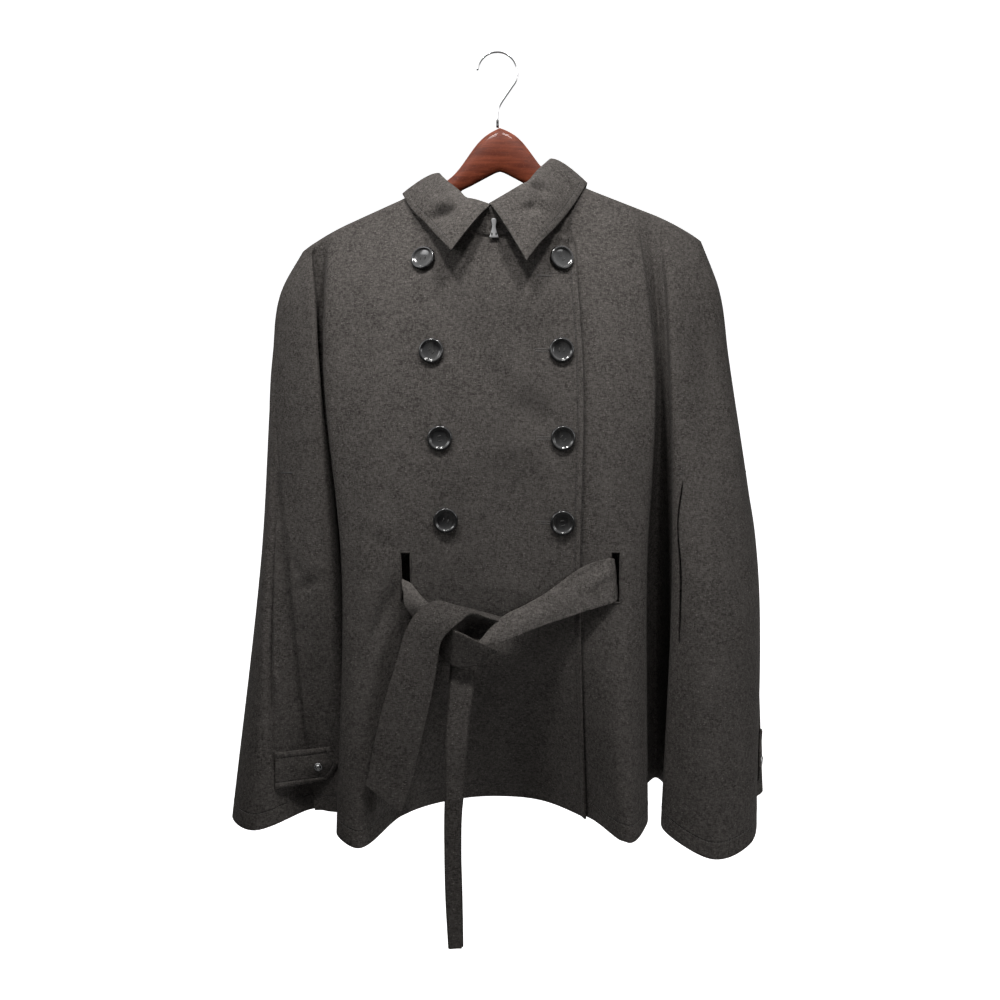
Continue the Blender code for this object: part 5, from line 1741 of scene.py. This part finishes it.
class Body:
    """The coat's body: two fronts and a back, with where they are cut, lapped and lifted."""

    def __init__(self, drape):
        self.drape = drape
        self.mm = drape.per_mm(0.25, WAIST_Z)
        slot_height = (SLOT_TOP + SLOT_BOTTOM) / 2
        self.slots = [drape.find(x, slot_height) for x in SLOTS_X]
        self.slot_half = SLOT_HALF * drape.per_mm(self.slots[0], slot_height)
        slot_cuts = [Cut(p, self.slot_half, SLOT_TOP, SLOT_BOTTOM, False) for p in self.slots]
        edge = drape.place("left_body_edge")
        flute = edge - drape.place("left_flute")
        half = flute * LEFT_SLIT_HALF
        self.slit_left = Cut(edge - flute * LEFT_SLIT_IN - half, half, SLIT_TOP, SLIT_BOTTOM, True)
        edge = drape.place("right_wing_edge")
        wing_mm = drape.per_mm(edge, WAIST_Z)
        self.slit_right = Cut(
            edge + RIGHT_SLIT_IN * wing_mm, RIGHT_SLIT_HALF * wing_mm, SLIT_TOP, RIGHT_SLIT_BOTTOM,
            True, RIGHT_SLIT_SWAY * wing_mm,
        )
        self.upper_cuts = (self.slit_left, slot_cuts[0])
        self.under_cuts = (slot_cuts[1], self.slit_right)
        self.cuts = self.upper_cuts + self.under_cuts

        self.gap = SEAM_HALF * drape.per_mm(drape.place("left_seam") + 0.01, CHEST_Z)
        self.first = self.gap
        self.last = drape.right_seam - self.gap
        self.back_first = drape.right_seam + self.gap
        self.back_last = 1.0 - self.gap
        self.overlap = drape.place("overlap_edge")
        self.under_edge = drape.find(UNDER_EDGE_X, WAIST_Z)
        self.near_seam = LAP_FADE * drape.per_mm(0.01, WAIST_Z)
        corners = self.corners(self.first, self.last)
        self.kept = (self.under_edge, self.overlap, *corners)
        self.upper = Cloth(drape, self.upper_lift, (1, OVERLAP_TOP_Z))
        self.under = Cloth(drape, self.under_lift, (-1, UNDER_TOP_Z))
        self.back = Cloth(drape, self.back_lift, behind=True)

    def corners(self, first, last):
        return [self.drape.neck_corner(x, first, last) for x in NECK_CORNERS]

    def columns(self, first, last):
        """How many columns of points a panel between two places has."""
        return int((last - first) * (1 / self.mm) / POINT_STEP)

    def upper_lift(self, place, height):
        from_edge = (self.overlap - place) / self.mm
        edge = EDGE_RAISE * (1 - smooth(0.0, EDGE_REACH, from_edge)) * smooth(*EDGE_HEIGHTS, height)
        from_centre = (place - self.drape.place("centre_front")) / self.mm
        top = TOP_RAISE * smooth(*TOP_HEIGHTS, height) * smooth(*TOP_FROM_CENTRE, from_centre)
        return vent_lift((place - self.first) / self.mm, height) + np.maximum(edge, top)

    def under_lift(self, place, height):
        inner = 1 - smooth(self.overlap + 0.002, self.drape.place("right_crest"), place)
        lapped = LAP_LAYER * inner * smooth(UNDER_FREE_Z, UNDER_FULL_Z, height)
        return vent_lift((self.last - place) / self.mm, height) - lapped

    def back_lift(self, place, height):
        near = np.minimum(np.abs(place - self.drape.right_seam), np.abs(place - 1.0))
        inside = (place > self.back_first) & (place < self.back_last)
        edge = 1 - smooth(0.2 * self.near_seam, self.near_seam, near)
        below = smooth(VENT_TOP, VENT_TOP - LAP_STARTS, height)
        return -LAP_LAYER * np.where(inside, edge, 1.0) * below

    def back_kept(self, upper, left, right):
        """The back's laps under the fronts are there only below the top of the vents."""
        beyond = (right < self.back_first + 1e-6) | (left > self.back_last - 1e-6)
        return ~(beyond & (upper > VENT_TOP - LAP_STARTS - 1))

    def build(self, wool):
        """The three panels. Gives back the rows of sewing on them."""
        count = self.columns(self.first, self.last)
        front = spread(self.first, self.last, count, self.cuts, self.kept)
        places = [p for p in front if p <= self.overlap]
        rows = panel(
            "coat_front_top", self.upper, places, wool, "front_upper",
            self.upper_cuts, sewn=1,
        )
        places = [p for p in front if p >= self.under_edge]
        rows += panel(
            "coat_front_under", self.under, places, wool, "front_under",
            self.under_cuts, sewn=0,
        )
        coarse = spread(self.first, self.last, LAP_PARTS, self.cuts, self.kept)
        lap_left = np.linspace(1.0 + coarse[1], 1.0 + coarse[3], LAP_COLUMNS)
        lap_right = np.linspace(coarse[-4], coarse[-2], LAP_COLUMNS)
        count = self.columns(self.back_first, self.back_last)
        corners = self.corners(self.back_first, self.back_last)
        middle = spread(self.back_first, self.back_last, count, (), corners)
        rows += panel(
            "coat_back", self.back, [*lap_right, *middle, *lap_left], wool, "back",
            (), self.back_kept,
        )
        return rows

    def tacks(self):
        """Bars of close stitches at the tops of the slits and the vents."""
        across = np.linspace(-TACK_HALF, TACK_HALF, 6) * self.mm
        right = self.slit_right.middle + across - RIGHT_TACK_BESIDE * self.mm
        longer = VENT_TACK_LONGER * across
        beside = VENT_TACK_BESIDE * self.mm
        spots = (
            (self.upper, self.slit_left.middle + across, SLIT_TOP + TACK_ABOVE),
            (self.under, right, SLIT_TOP + RIGHT_TACK_ABOVE),
            (self.upper, self.first + longer + beside, VENT_TOP),
            (self.under, self.last + longer - beside, VENT_TOP),
        )
        return [close_stitched(*spot, TACK_STITCH) for spot in spots]


def main():
    for thing in list(bpy.data.objects):
        bpy.data.objects.remove(thing, do_unlink=True)
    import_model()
    wool = wool_finish("charcoal_wool_cloth")
    # A darker copy of the coat's cloth for the belt's knot, ends and hidden run, as painted shade.
    belt_wool_painted_shade = wool_finish("charcoal_wool_belt_painted_shade", 0.84, 0.0)
    # A lighter copy of the coat's cloth for the belt's two runs, as painted light where they face
    # the lamps.
    run_wool_painted_lit = wool_finish("charcoal_wool_belt_run_painted_lit", 1.36, 0.0)
    # A slightly lighter copy of the coat's cloth for the collar, as painted light, with less painted
    # shade in its stitched grooves.
    collar_wool_painted_lit = wool_finish("charcoal_wool_collar_painted_lit", 1.06, 0.12)
    thread = thread_finish()
    button_thread = thread_finish("button_thread", 0.22)
    horn = horn_finish()
    wood = mahogany_finish()
    chrome = chrome_finish("hook_chrome_bright", 0.97, 0.08)
    silver = chrome_finish("clasp_silver", 0.36, 0.3)
    snap_metal = chrome_finish("snap_nickel", 0.3, 0.24)

    drape = Drape()
    body = Body(drape)
    rows = body.build(wool)
    rows += build_collar(collar_wool_painted_lit)
    rows += build_tab("left", body.upper, 0.0, 1.0, wool, snap_metal)
    rows += build_tab("right", body.under, drape.right_seam, -1.0, wool, snap_metal)
    sewing("bar_tacks", body.tacks(), button_thread)
    top_places = [drape.find(x, TOP_SEWING_Z) for x in TOP_SEWING_X]
    rows.append(topstitched(body.upper.at(top_places, TOP_SEWING_Z, TOP_SEWING_ABOVE)))
    for _, x, z in BUTTONS[4:]:
        rows += buttonhole(body.upper, x - HOLE_BESIDE, z)
    sewing("topstitching", rows, thread)
    for side, cloth, slot in zip(("left", "right"), (body.upper, body.under), body.slots):
        build_welt("slot_welt_" + side, cloth, slot, body.slot_half, wool)
    build_neck_hook(silver)
    sewing("clasp_stitches", clasp_stitches(), button_thread)
    build_hanger(wood, chrome)
    ribbon("tie_run_right", BELT_RUN_RIGHT, run_wool_painted_lit, "belt_run_right", 90, 17, RUN_DENTS)
    ribbon("tie_run_left", BELT_RUN_LEFT, run_wool_painted_lit, "belt_run_left", 50)
    ribbon("tie_inside", BELT_INSIDE, belt_wool_painted_shade, "belt_inside", 90, 5)
    ribbon("tie_wide_end", BELT_WIDE_END, belt_wool_painted_shade, "belt_wide_end", 130)
    ribbon("tie_knot", BELT_KNOT, belt_wool_painted_shade, "belt_knot", 60)
    folded_ribbon("tie_narrow_end", BELT_NARROW_END, belt_wool_painted_shade, "belt_narrow_end", 110)
    for index, (name, x, z) in enumerate(BUTTONS):
        place = drape.find(x, z, "left_crest", "right_crest")
        foot, normal = drape.stand_on(place, z, BUTTON_BED)
        foot = foot + normal * (CLOTH / 2 + SEAM_GAP)
        turn = math.radians(index * BUTTON_TURN % 90)
        build_button(name, foot, normal, turn, horn, button_thread)

    build_studio()


main()
